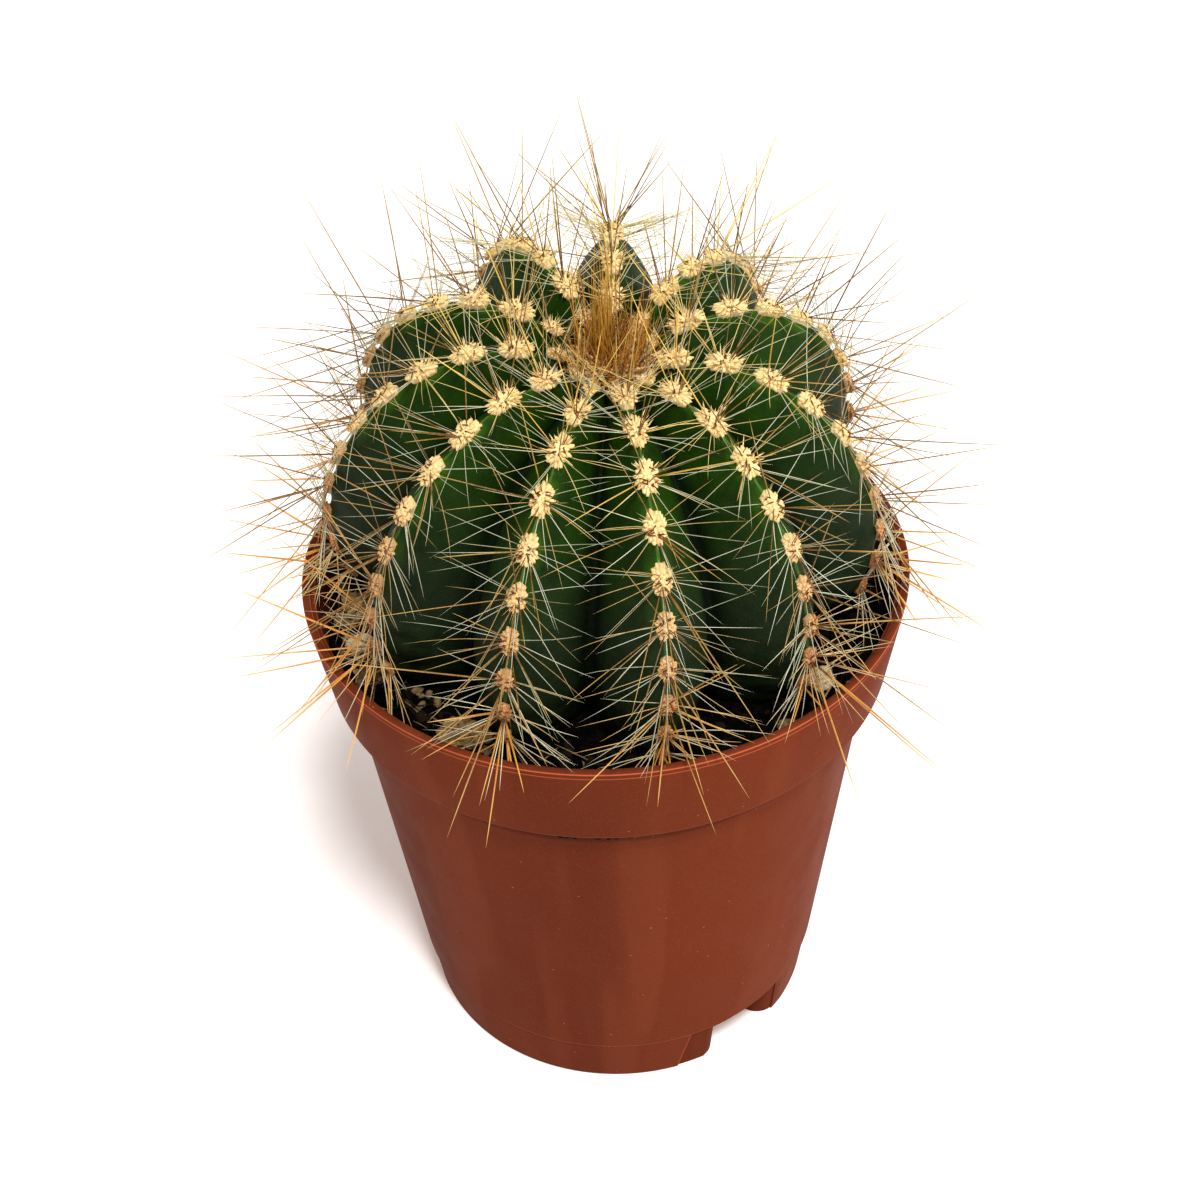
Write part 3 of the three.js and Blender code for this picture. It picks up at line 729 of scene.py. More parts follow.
def makeBody():
    bm = bmesh.new()
    columns = plant["ribs"] * plant["columns"]
    bmesh.ops.create_uvsphere(bm, u_segments=columns, v_segments=plant["rows"], radius=1)
    crestLayer, heightLayer, budLayer = (
        bm.verts.layers.float.new(name) for name in ("crest", "height", "bud")
    )
    for vert in bm.verts:
        angle = rowAngle(math.acos(clamp(vert.co.z, -1, 1)) / math.pi)
        place = math.atan2(vert.co.y, vert.co.x) / math.tau * plant["ribs"]
        crest = 1 - abs(place - round(place)) * 2
        near = nearAreole(round(place), angle)
        wobble = noise.fractal(vert.co * plant["wobbleGrain"], 1, 2, 3) * plant["wobble"]
        swell = plant["chin"] * (near * near * (3 - 2 * near) - 0.5) * crest**2 + wobble
        vert[crestLayer] = crest
        vert[heightLayer] = clamp((angle - plant["oldAngle"]) / 100)
        vert[budLayer] = near * clamp(crest * 4 - 3)
        vert.co = lean @ skinPoint(angle, place, swell)
    addPiece("cactus_body", bm, cactusSkin(), ["cactus"])


makeBody()

# Chips on the soil

chips = [
    {"azimuth": -126, "distance": 33.6, "half": (4.3, 3.0, 2.3), "turn": 25, "kind": "pumice"},
    {"azimuth": -33, "distance": 34.2, "half": (2.6, 2.1, 1.9), "turn": 70, "kind": "pebble"},
    {"azimuth": -49, "distance": 36.2, "half": (2.2, 1.6, 1.2), "turn": -20, "kind": "pumice"},
    {"azimuth": 178, "distance": 36.0, "half": (3.2, 2.1, 1.6), "turn": 95, "kind": "bark"},
    {"azimuth": -157, "distance": 34.8, "half": (3.6, 2.2, 1.7), "turn": 50, "kind": "bark"},
    {"azimuth": -168, "distance": 35.4, "half": (2.4, 1.7, 1.5), "turn": 10, "kind": "pebble"},
    {"azimuth": 12, "distance": 35.9, "half": (2.5, 1.7, 1.4), "turn": 80, "kind": "pumice"},
    {"azimuth": 66, "distance": 36.3, "half": (2.2, 1.5, 1.2), "turn": 150, "kind": "bark"},
    {"azimuth": 128, "distance": 36.1, "half": (2.6, 1.7, 1.5), "turn": 40, "kind": "pumice"},
]
chipRise = 0.65  # height of a chip's middle above the soil's level, over its half height
chipKinds = {
    "pumice": {
        "lump": 0.2, "grain": 2.6, "pit": 0.12,
        "colours": (tint(98, 76, 42), tint(160, 130, 80)), "pitShade": tint(72, 56, 38),
    },
    "pebble": {
        "lump": 0.12, "grain": 1.6, "pit": 0.03,
        "colours": (tint(222, 184, 124), tint(248, 226, 180)),
    },
    "bark": {
        "lump": 0.26, "grain": 3.4, "pit": 0.06,
        "colours": (tint(84, 60, 34), tint(176, 146, 96)),
    },
}
for chip in chips:
    height = plant["soilLevel"] + chip["half"][2] * chipRise
    middle = polar(chip["distance"], math.radians(chip["azimuth"]), height)
    chip["frame"] = Matrix.Translation(middle) @ Matrix.Rotation(math.radians(chip["turn"]), 4, "Z")
    chip["back"] = chip["frame"].inverted()


def pumiceStone():
    stone = Finish("pumice_stone", {"Specular IOR Level": 0.2})
    patch = stone.cloud(1.2, 5, 0.65)
    pits = stone.fade(stone.cells(0.5), 0.05, 0.3)
    colour = stone.blend(stone.fade(patch, 0.35, 0.68), *chipKinds["pumice"]["colours"])
    # painted shade: the pits are darkened
    colour = stone.blend(1 - pits, colour, chipKinds["pumice"]["pitShade"])
    return stone.wear(
        Base_Color=colour,
        Roughness=stone.fade(patch, 0.3, 0.7, 0.85, 0.98),
        Normal=stone.relief(pits + patch * 0.8, 0.16),
    )


def paleStone():
    stone = Finish("pale_stone", {"Specular IOR Level": 0.3})
    patch = stone.cloud(0.9, 4, 0.6)
    return stone.wear(
        Base_Color=stone.blend(stone.fade(patch, 0.35, 0.7), *chipKinds["pebble"]["colours"]),
        Roughness=stone.fade(patch, 0.3, 0.7, 0.6, 0.8),
        Normal=stone.relief(stone.cloud(0.35, 4), 0.08),
    )


def barkWood():
    bark = Finish("bark_wood", {"Specular IOR Level": 0.2})
    fibre = bark.cloud(0.5, 5, 0.7, bark.place((0.18, 1, 1.3), (0, 0, 0.6)))
    return bark.wear(
        Base_Color=bark.blend(bark.fade(fibre, 0.35, 0.7), *chipKinds["bark"]["colours"]),
        Roughness=bark.fade(fibre, 0.3, 0.7, 0.8, 0.95),
        Normal=bark.relief(fibre, 0.25),
    )


def makeChips(finishes):
    for index, chip in enumerate(chips):
        shape = chipKinds[chip["kind"]]
        seed = Vector((index * 7.3, index * 3.1, 5))
        bm = bmesh.new()
        bmesh.ops.create_icosphere(bm, subdivisions=5, radius=1)
        for vert in bm.verts:
            lump = noise.fractal(vert.co * 1.3 + seed, 1, 2, 3) * shape["lump"] * 1.4
            facet = noise.voronoi(vert.co * 1.1 + seed)[0][0] * shape["lump"]
            pit = noise.noise(vert.co * shape["grain"] * 2.2 + seed) * shape["pit"]
            spot = vert.co * (0.93 + lump - facet + pit)
            vert.co = Vector(part * size for part, size in zip(spot, chip["half"]))
        bmesh.ops.transform(bm, matrix=chip["frame"], verts=bm.verts)
        name = f"{chip['kind']}_chip_{index + 1}"
        addPiece(f"{name}_stone", bm, finishes[chip["kind"]], [name])


chipFinishes = {"pumice": pumiceStone(), "pebble": paleStone(), "bark": barkWood()}
makeChips(chipFinishes)

# Soil

soil = {
    "relief": 0.9,
    "gap": 0.3,  # between its block and the pot
    "topGap": 0.15,
    "steps": 240,
    "rings": 44,
    "innermost": 16,
    "seed": 71,
    "crumbs": 900,
    "crumbSize": (0.35, 1.2),
    "crumbZone": (30, 39.4),
    "paleShare": 0.02,  # of the crumbs in front that are bits of stone or wood
    "paleShareLeft": 0.5,  # of those on the left, where the mix is coarser
    "leftAzimuth": 178,
    "leftSpread": 34,
    "grit": 70,
    "gritSize": (0.2, 0.5),
    "gritTurn": (-104, 9),  # middle and spread of the specks under the band, in degrees
    "gritUnderBand": (60.8, 62.4),
    "gritInside": (70.5, 75),
    "gritTones": (0.3, 0.6, 1.04),
    "fibreSeed": 17,
    "fibres": 150,
    "fibreLength": (2.5, 7),
    "fibreRadius": (0.09, 0.2),
    "fibreZone": (31, 39),
    "fibreSpread": 60,  # degrees to both sides of leftAzimuth
    "fibreReach": 39.2,
}
soilColours = {
    "mix": (tint(2, 2, 1), tint(22, 15, 11)),
    "grit": tint(96, 74, 50),
    "crumb": (tint(5, 4, 3), tint(36, 25, 17)),
    "tan": tint(128, 106, 74),
    "cream": tint(190, 168, 128),
    "damp": tint(12, 9, 7),
}


def soilLift(x, y):
    clods = noise.fractal(Vector((x, y, 0)) * 0.32, 0.8, 2.1, 5)
    return soil["relief"] * clamp(clods, -1, 1)


def onSoil(distance, azimuth, rise):  # a point that much above the soil's surface
    spot = polar(distance, azimuth)
    spot.z = plant["soilLevel"] + soilLift(spot.x, spot.y) + rise
    return spot


def pottingMix():
    mix = Finish("potting_mix", {"Specular IOR Level": 0.03})
    lumps = mix.cloud(1.4, 6, 0.7)
    grit = mix.cells(0.7)
    colour = mix.blend(mix.fade(lumps, 0.4, 0.75), *soilColours["mix"])
    colour = mix.blend(mix.fade(grit, 0.12, 0.05, 0, 0.35), colour, soilColours["grit"])
    return mix.wear(
        Base_Color=colour,
        Roughness=mix.fade(lumps, 0.3, 0.7, 0.8, 1),
        Normal=mix.relief(lumps, 0.7),
    )


def crumbMix():  # tones up to 1 are dark soil, from there on bits of stone and wood
    crumb = Finish("soil_crumbs", {"Specular IOR Level": 0.04})
    tone = crumb.grown("tone")
    patch = crumb.cloud(0.5, 4, 0.7)
    colour = crumb.blend(crumb.fade(tone, 0.3, 0.9), *soilColours["crumb"])
    colour = crumb.blend(crumb.fade(tone, 1.02, 1.1), colour, soilColours["tan"])
    colour = crumb.blend(crumb.fade(tone, 1.5, 1.9), colour, soilColours["cream"])
    colour = crumb.blend(crumb.fade(patch, 0.5, 0.8, 0, 0.45), colour, soilColours["damp"])
    return crumb.wear(
        Base_Color=colour,
        Roughness=crumb.fade(patch, 0.3, 0.7, 0.8, 1),
        Normal=crumb.relief(patch, 0.3),
    )


def makeSoil():
    level, gap = plant["soilLevel"], soil["gap"]
    edge = innerRadius(level) - soil["topGap"]
    wide = edge - soil["innermost"]
    top = [(edge - wide * ring / soil["rings"], level) for ring in range(soil["rings"] + 1)]
    bm = turned([
        (0, pot["floorTop"] + gap),
        (innerRadius(pot["floorTop"]) - gap, pot["floorTop"] + gap),
        (innerRadius(shelfHeight) - gap, shelfHeight + gap),
        (innerRadius(shelfHeight + 0.01) - gap, shelfHeight + gap),
        *top,
        (0, level),
    ], soil["steps"])
    for vert in bm.verts:
        if vert.co.z > level - 0.1:
            vert.co.z += soilLift(vert.co.x, vert.co.y)
    addPiece("soil_mass", bm, pottingMix(), ["soil"])


def addLump(bm, toneLayer, middle, half, turn, tone, seed):
    made = bmesh.ops.create_icosphere(bm, subdivisions=2, radius=1)["verts"]
    frameHere = Matrix.Translation(middle) @ turn.to_matrix().to_4x4()
    for vert in made:
        vert[toneLayer] = tone
        swell = 1 + 0.5 * noise.noise(vert.co * 1.6 + seed)
        vert.co = frameHere @ Vector(part * size * swell for part, size in zip(vert.co, half))


def leftness(azimuth):  # 1 in the middle of the coarser left part of the soil, 0 away from it
    off = (math.degrees(azimuth) - soil["leftAzimuth"] + 180) % 360 - 180
    return clamp(1.6 - abs(off) / soil["leftSpread"])


def makeCrumbs(crumbFinish):
    draw = random.Random(soil["seed"])
    bm = bmesh.new()
    toneLayer = bm.verts.layers.float.new("tone")
    for index in range(soil["crumbs"]):
        size = between(draw, soil["crumbSize"]) * (0.6 + 0.4 * draw.random())
        distance = math.sqrt(between(draw, [limit**2 for limit in soil["crumbZone"]])) - size
        azimuth = draw.uniform(0, math.tau)
        spot = onSoil(distance, azimuth, size * 0.25)
        left = leftness(azimuth)
        half = [size * draw.uniform(0.6, 1.1) * (1 + 0.35 * left) for _ in range(3)]
        turn = Vector([draw.uniform(-1, 1) for _ in range(3)]).to_track_quat("Z", "Y")
        pale = draw.random() < soil["paleShare"] + (soil["paleShareLeft"] - soil["paleShare"]) * left
        tone = draw.uniform(1.1, 1.1 + 0.9 * left) if pale else draw.random()
        addLump(bm, toneLayer, spot, half, turn, tone, Vector((index, 0, 0)))
    for index in range(soil["grit"]):  # two of three specks are under the band, one inside the rim
        size = between(draw, soil["gritSize"])
        if index % 3:
            azimuth = math.radians(draw.gauss(*soil["gritTurn"]))
            height = between(draw, soil["gritUnderBand"])
            distance = bodyRadius(height) + size * 0.2
        else:
            azimuth = math.radians(draw.uniform(0, 360))
            height = between(draw, soil["gritInside"])
            distance = innerRadius(height) - size * 0.3
        spot = polar(distance, azimuth, height)
        turn = polar(1, azimuth).to_track_quat("Z", "Y")
        tone = draw.choice(soil["gritTones"])
        addLump(bm, toneLayer, spot, [size] * 3, turn, tone, Vector((0, index, 0)))
    addPiece("soil_crumbs", bm, crumbFinish, ["soil"])


crumbFinish = crumbMix()
makeSoil()
makeCrumbs(crumbFinish)

# Needles: spines, wool and fibres

needleValues = ("along", "tone", "age")  # from root to tip, its own shade, how old its areole is
spineShape = ((0, 0.75), (0.1, 1), (0.5, 0.85), (0.8, 0.55), (1, 0.06))  # half widths from root to tip
lockShape = ((0, 0.85), (0.5, 1), (1, 0.5))
hairShape = ((0, 1), (0.6, 0.7), (1, 0.1))
fibreShape = ((0, 0.7), (0.5, 1), (1, 0.5))


def needleTemplate(name, sides, joints, outline):  # a closed needle, 1 long up Z
    bm = bmesh.new()
    bmesh.ops.create_cone(
        bm, cap_ends=True, segments=sides, radius1=1, radius2=1, depth=1,
        matrix=Matrix.Translation((0, 0, 0.5)),
    )
    lengthwise = [edge for edge in bm.edges if abs(edge.verts[0].co.z - edge.verts[1].co.z) > 0.5]
    bmesh.ops.subdivide_edges(bm, edges=lengthwise, cuts=joints - 1)
    for vert in bm.verts:
        wide = smoothStops(outline, vert.co.z)
        vert.co.x *= wide
        vert.co.y *= wide
    mesh = bpy.data.meshes.new(name)
    bm.to_mesh(mesh)
    bm.free()
    return mesh


def growing(template):  # a bmesh to grow needles in, with the values that their finish reads
    bm = bmesh.new()
    layers = [bm.verts.layers.float.new(name) for name in needleValues]
    return {"bm": bm, "layers": layers, "template": template}


def growNeedle(bunch, root, tip, radius, bow, tone, age):  # bow is how far its tip is bent aside
    bm = bunch["bm"]
    start = len(bm.verts)
    bm.from_mesh(bunch["template"], face_normals=False)
    bm.verts.ensure_lookup_table()
    run = tip - root
    turn = run.to_track_quat("Z", "Y")
    alongLayer, toneLayer, ageLayer = bunch["layers"]
    for vert in bm.verts[start:]:
        share = vert.co.z
        side = turn @ Vector((vert.co.x * radius, vert.co.y * radius, 0))
        vert.co = root + run * share + bow * (share * share) + side
        vert[alongLayer] = share
        vert[toneLayer] = tone
        vert[ageLayer] = age


def streaked(needle, colour, size, share, light, roughness, paintedGlow=None):
    # Ends a needle's finish with fine light streaks. Its last argument is a painted glow: emission that
    # stands in for light coming through the needle.
    streak = needle.cloud(size, 3)
    # the light streaks are partly a painted highlight along the needle
    colour = needle.blend(needle.fade(streak, 0.4, 0.7, 0, share), colour, light)
    if paintedGlow:
        needle.wear(Emission_Color=needle.blend(paintedGlow, tint(0, 0, 0), colour))
    return needle.wear(
        Base_Color=colour,
        Roughness=needle.fade(streak, 0.3, 0.7, *roughness),
        Normal=needle.relief(streak, 0.01),
    )


spines = {
    "seed": 29,
    "reach": 53.4,  # sideways from the pot's axis
    "top": 141.3,
    "clearance": 0.7,
    "chipClearance": 0.9,
    "chipTop": 6,  # no chip reaches further above the soil's level
    "samples": 16,  # places along a spine where it is tested
    "freeLength": 2.5,  # from the root, where it may lie in the skin
    "skinGap": 0.15,
    "tries": 18,  # to bend a spine clear
    "least": 0.4,  # of its wanted length
    "bendOut": 0.08,
    "bendUp": 0.07,
    "bendUpBelow": 60,  # angle above the equator
    "shorter": (0.8, 0.65, 0.5, 0.4),  # tried when bending doesn't clear it
    "sunk": 0.4,
    "youngFrom": 45,  # angle above the equator; from here up the areoles get younger
    "youngSpan": 35,
    "pale": {
        "roots": (0.7, 1.3, 0.35),  # across, along and out of the areole, where the needles start
        "count": 14, "length": (7.5, 13.5), "tilt": (62, 82), "radius": (0.052, 0.08), "bow": 0.16,
        "fan": (22, -44), "scatter": 8,  # turns off the way across the crest
        "lowest": 0,
        "upright": 0,
        # painted backlight: the tone of the pale spines on young areoles facing away
        "backlitTone": 0.8,
    },
    "amber": {
        "roots": (0.3, 0.8, 0.75),
        "count": 5, "length": (11, 24), "tilt": (26, 66), "radius": (0.08, 0.13), "bow": 0.05,
        "turns": (-90, -25, -155, 100, -60, -120, -80, -20, -100, -72, -112), "scatter": 24,
        "lowest": 6,  # more of them on an areole near the soil
        "upright": 1.3,  # how far the youngest turn straight up
        "backlitTone": 0.05,  # painted backlight: the young spines facing away are made nearly all golden
    },
}


def hitsPot(point):
    room = spines["clearance"]
    distance = math.hypot(point.x, point.y)
    if point.z > pot["height"] + room or distance > pot["rimRadius"] + room:
        return False
    if point.z < plant["soilLevel"] + soil["relief"] + room * 0.4:
        return True
    return distance > pot["rimRadius"] - pot["lipWidth"] - room


def hitsChip(point):
    if point.z > plant["soilLevel"] + spines["chipTop"]:
        return False
    room = spines["chipClearance"]
    for chip in chips:
        local = chip["back"] @ point
        if sum((part / (size + room)) ** 2 for part, size in zip(local, chip["half"])) < 1:
            return True
    return False


def withinBody(point, margin):
    local = leanBack @ point
    flat = math.hypot(local.x, local.y)
    rise = local.z - plant["centre"]
    angle = math.degrees(math.atan2(rise, flat))
    place = (math.degrees(math.atan2(local.y, local.x)) - plant["firstRib"]) % 360 / ribStep
    return math.hypot(flat, rise) < skinDistance(angle, place) + margin


def isClear(root, run):
    length = run.length
    for step in range(2, spines["samples"] + 1):
        share = step / spines["samples"]
        point = root + run * share
        if hitsPot(point) or hitsChip(point):
            return False
        if length * share > spines["freeLength"] and withinBody(point, spines["skinGap"]):
            return False
    return True


def withinReach(root, run, bow):  # the run, shortened so that its bent tip stays in the plant's spread
    end = root + run + bow
    limit = spines["reach"]
    share = 1
    for start, stop in ((root.x, end.x), (root.y, end.y)):
        if abs(stop) > limit:
            share = min(share, (math.copysign(limit, stop) - start) / (stop - start))
    if end.z > spines["top"]:
        share = min(share, (spines["top"] - root.z) / (end.z - root.z))
    return run * share


def settle(seat, root, wanted, bow):
    # Bends a spine out and up until it is clear of pot, soil, chips and skin. Returns its straight run.
    length = wanted.length
    trial = wanted.normalized()
    rise = spines["bendUp"] if seat["angle"] < spines["bendUpBelow"] else 0
    for _ in range(spines["tries"]):
        run = withinReach(root, trial * length, bow)
        if run.length > length * spines["least"] and isClear(root, run):
            return run
        trial += seat["out"] * spines["bendOut"] + up * rise
        trial.normalize()
    for shorten in spines["shorter"]:
        run = withinReach(root, wanted * shorten, bow)
        if isClear(root, run):
            return run
    return None


def youth(seat):
    return clamp((seat["angle"] - spines["youngFrom"]) / spines["youngSpan"])


def fanned(seat, tilt, turn):  # tilted off the way out, and turned off the way across the crest
    side = math.sin(tilt)
    heading = seat["out"] * math.cos(tilt)
    heading += seat["across"] * side * math.cos(turn) + seat["along"] * side * math.sin(turn)
    return heading.normalized()


paleColours = {
    "shades": (tint(204, 204, 178), tint(146, 150, 122)),
    "old": tint(236, 214, 168),
    "golden": (tint(168, 130, 64), tint(230, 174, 96)),  # on young and on old areoles
    "young": tint(238, 210, 118),
    "base": tint(132, 86, 42),
    "streak": tint(232, 226, 194),
}
amberColours = {
    "shades": (tint(152, 110, 46), tint(92, 62, 24)),
    "young": tint(236, 194, 80),
    "old": tint(228, 154, 62),
    "tips": (tint(248, 214, 122), tint(250, 188, 98)),  # on young and on old areoles
    "base": tint(84, 44, 16),
    "streak": tint(244, 206, 118),
}


def paleSpine():
    # the emission is a painted glow on the young pale spines
    spine = Finish("pale_spine", {"Specular IOR Level": 0.3, "Emission Strength": 0.16})
    along, tone, age = (spine.grown(name) for name in needleValues)
    colour = spine.blend(spine.fade(tone, 0.1, 0.6), *paleColours["shades"])
    colour = spine.blend(spine.fade(age, 0.55, 0.85, 0, 0.8), colour, paleColours["old"])
    golden = spine.blend(spine.fade(age, 0.5, 0.8), *paleColours["golden"])
    colour = spine.blend(spine.fade(tone, 0.65, 0.75, 0, 0.85), colour, golden)
    young = spine.fade(age, 0.4, 0.2) * spine.fade(tone, 0.56, 0.7, 0.1, 0.8)
    colour = spine.blend(young, colour, paleColours["young"])
    colour = spine.blend(spine.fade(along, 0.2, 0.05, 0, 0.8), colour, paleColours["base"])
    return streaked(spine, colour, 0.6, 0.2, paleColours["streak"], (0.4, 0.55), young)


def amberSpine():
    # the emission is a painted glow on young and old amber spines
    spine = Finish("amber_spine", {"Specular IOR Level": 0.35, "Emission Strength": 0.3})
    along, tone, age = (spine.grown(name) for name in needleValues)
    colour = spine.blend(spine.fade(tone, 0.1, 0.7), *amberColours["shades"])
    young = spine.fade(age, 0.35, 0.18) * spine.fade(tone, 0.27, 0.14, 0.05, 0.9)
    colour = spine.blend(young, colour, amberColours["young"])
    old = spine.fade(age, 0.56, 0.8, 0, 0.9)
    colour = spine.blend(old, colour, amberColours["old"])
    tips = spine.fade(along, 0.4, 0.95) * spine.fade(young + old, 0, 1, 0.4, 0.7)
    colour = spine.blend(tips, colour, spine.blend(old, *amberColours["tips"]))
    base = spine.fade(along, 0.24, 0.08, 0, 0.85) * (1 - young * 0.75)
    colour = spine.blend(base, colour, amberColours["base"])
    paintedGlow = young + old * 0.27
    return streaked(spine, colour, 0.5, 0.15, amberColours["streak"], (0.32, 0.46), paintedGlow)


wool = {
    "half": (1.35, 2.1),  # across and along the crest
    "height": 0.9,
    "cores": (-1.1, -0.55, 0, 0.55, 1.1),  # along the crest
    "coreRadius": 0.95,
    "rings": ((6, 0, 0.4), (11, 0.3, 0.74), (17, 0.6, 1)),  # locks, inner edge and outer edge of each
    "lockRadius": (0.26, 0.36),
    "slits": 7,  # bases of spines, dark between the locks
    "slitRadius": 0.1,
    "slitTone": 2,
    "hair": {
        "count": 10, "zone": (0.5, 0.9), "lift": -0.2, "tilt": (30, 80),
        "length": (1, 2), "radius": 0.03,
    },
    "wisp": {  # on the youngest areoles
        "count": 40, "zone": (0.2, 0.9), "lift": 0, "tilt": (30, 85),
        "length": (0.8, 1.6), "radius": 0.11,
    },
}
woolColours = {
    "ages": (tint(250, 220, 152), tint(172, 102, 42)),
    "shade": tint(228, 170, 98),
    "root": tint(160, 98, 50),
    "strand": tint(255, 240, 196),
    "slit": tint(104, 54, 22),
}


def areoleWool():
    wad = Finish("areole_wool", {"Specular IOR Level": 0.1, "Emission Strength": 0.1})
    along, tone, age = (wad.grown(name) for name in needleValues)
    colour = wad.blend(wad.fade(age, 0.3, 0.74), *woolColours["ages"])
    colour = wad.blend(wad.fade(tone, 0.5, 1, 0, 0.5), colour, woolColours["shade"])
    colour = wad.blend(wad.fade(along, 0.3, 0, 0, 0.25), colour, woolColours["root"])
    strands = wad.cloud(0.16, 4, 0.7)
    colour = wad.blend(wad.fade(strands, 0.4, 0.7, 0, 0.4), colour, woolColours["strand"])
    colour = wad.blend(wad.fade(tone, 1.6, 1.9), colour, woolColours["slit"])
    return wad.wear(
        Base_Color=colour,
        Emission_Color=colour,  # painted glow: emission in the wool's own colour stands in for light that wool lets through into the gaps between its locks
        Roughness=wad.fade(strands, 0.3, 0.7, 0.85, 0.98),
        Normal=wad.relief(strands, 0.1),
    )


def padPoint(seat, share, turn, lift):  # a point of the areole's woolly dome
    wide, long = wool["half"]
    dome = wool["height"] * math.sqrt(max(0, 1 - 0.9 * share * share)) + lift
    spot = seat["across"] * wide * share * math.cos(turn) + seat["along"] * long * share * math.sin(turn)
    return seat["middle"] + (spot + seat["out"] * dome) * seat["pad"]


def looseHair(draw, seat, kind):  # its root, and its run
    turn = draw.uniform(0, math.tau)
    root = padPoint(seat, between(draw, kind["zone"]), turn, kind["lift"])
    tilt = math.radians(between(draw, kind["tilt"]))
    return root, fanned(seat, tilt, turn) * between(draw, kind["length"]) * seat["pad"]


def growWool(draw, locks, hairs, seat):
    size, age, out, young = seat["pad"], seat["age"], seat["out"], youth(seat)
    for offset in wool["cores"]:
        root = seat["middle"] + (seat["along"] * offset - out * 0.5) * size
        tip = root + out * (wool["height"] + 0.3) * size
        growNeedle(locks, root, tip, wool["coreRadius"] * size, Vector(), 0.6, age)
    for count, inner, outer in wool["rings"]:
        start = draw.uniform(0, math.tau)
        for index in range(count):
            turn = start + (index + draw.uniform(-0.3, 0.3)) * math.tau / count
            root = padPoint(seat, inner, turn, -0.2)
            spread = outer * draw.uniform(0.9, 1.08) * (1 + 0.15 * young)
            turn += draw.gauss(0, 0.12)
            tip = padPoint(seat, spread, turn, draw.uniform(-0.1, 0.15) + 0.4 * young)
            radius = between(draw, wool["lockRadius"]) * size * (1 - 0.3 * young)
            growNeedle(locks, root, tip, radius, out * 0.1 * size, draw.random(), age)
    for index in range(wool["slits"]):
        side = 1 if index % 2 else -1
        start = Vector((draw.uniform(0, 0.3) * side, draw.uniform(-0.6, 0.6)))
        end = start + Vector((draw.uniform(0.5, 0.9) * side, draw.uniform(-0.6, 0.3)))
        root = padPoint(seat, start.length, math.atan2(start.y, start.x), 0.25)
        tip = padPoint(seat, min(end.length, 1), math.atan2(end.y, end.x), 0.38)
        growNeedle(hairs, root, tip, wool["slitRadius"] * size, Vector(), wool["slitTone"], age)
    wisp, hair = wool["wisp"], wool["hair"]
    for _ in range(round(wisp["count"] * young)):
        root, run = looseHair(draw, seat, wisp)
        growNeedle(hairs, root, root + run, wisp["radius"] * size, Vector(), draw.random(), age)
    for _ in range(hair["count"]):
        root, run = looseHair(draw, seat, hair)
        bow = seat["along"] * draw.uniform(-0.5, 0.2)
        growNeedle(hairs, root, root + run, hair["radius"], bow, draw.random(), age)


def growSpines(draw, bunch, seat, kind, sides):
    wide, long, lift = kind["roots"]
    young = youth(seat)
    lowness = clamp(seat["age"] * 4 - 2.8)  # 1 near the soil
    paintedBacklight = 0.8 * clamp(seat["out"].y * 3) * clamp(2 - seat["age"] * 4)  # painted backlight: young areoles that face away get golden, younger-looking spines
    age = seat["age"] * (1 - paintedBacklight * 0.5)
    thick = 0.85 + 0.85 * clamp(seat["age"] * 2 - 1) - 0.1 * young
    for index in range(round(kind["count"] * seat["share"] + kind["lowest"] * lowness)):
        tilt, turn, length = sides(draw, index, kind, seat)
        length *= seat["size"]
        heading = (fanned(seat, tilt, turn) + up * kind["upright"] * young**2).normalized()
        spot = seat["across"] * wide * math.cos(turn) + seat["along"] * long * math.sin(turn)
        root = seat["middle"] + (spot + seat["out"] * lift) * seat["pad"]
        sway = seat["out"] * draw.uniform(-0.7, 0.9) + seat["along"] * draw.uniform(-0.8, 0.5)
        bow = sway * length * kind["bow"]
        run = settle(seat, root, heading * length, bow)
        if run is not None:
            start = root - heading * spines["sunk"]
            radius = between(draw, kind["radius"]) * thick
            tone = draw.random() * (1 - paintedBacklight) + kind["backlitTone"] * paintedBacklight
            growNeedle(bunch, start, root + run, radius, bow, tone, age)


def paleSides(draw, index, kind, seat):  # combed to both sides of the crest, the first two downwards
    if index < 2:
        turn = -90 + draw.gauss(0, 18)
    else:
        share = (index - 2) // 2 / (kind["count"] / 2 - 2)
        first, last = kind["fan"]
        slant = first + (last - first) * share + draw.gauss(0, kind["scatter"])
        turn = slant if index % 2 else 180 - slant
    tilt = between(draw, kind["tilt"]) * (1 - 0.35 * youth(seat))
    return math.radians(tilt), math.radians(turn), between(draw, kind["length"])


def amberSides(draw, index, kind, seat):  # mostly downwards and outwards, one up the crest
    turn = kind["turns"][index] + draw.gauss(0, kind["scatter"])
    tilt = between(draw, kind["tilt"]) * (1 - 0.45 * youth(seat)) * (0.5 if index == 4 else 1)
    length = between(draw, kind["length"]) * (1 - 0.25 * youth(seat))
    return math.radians(tilt), math.radians(turn), length


def makeSpines(woolFinish):
    draw = random.Random(spines["seed"])
    locks = growing(needleTemplate("lock", 5, 2, lockShape))
    hairs = growing(needleTemplate("hair", 3, 2, hairShape))
    pale = growing(needleTemplate("pale spine", 4, 5, spineShape))
    amber = growing(needleTemplate("amber spine", 5, 6, spineShape))
    for seat in seats + crownSeats:
        growWool(draw, locks, hairs, seat)
        growSpines(draw, pale, seat, spines["pale"], paleSides)
        growSpines(draw, amber, seat, spines["amber"], amberSides)
    addPiece("areole_wool", locks["bm"], woolFinish, ["cactus"])
    addPiece("areole_hairs", hairs["bm"], woolFinish, ["cactus"])
    addPiece("pale_spines", pale["bm"], paleSpine(), ["cactus"])
    addPiece("amber_spines", amber["bm"], amberSpine(), ["cactus"])


woolFinish = areoleWool()
makeSpines(woolFinish)

# Crown tuft

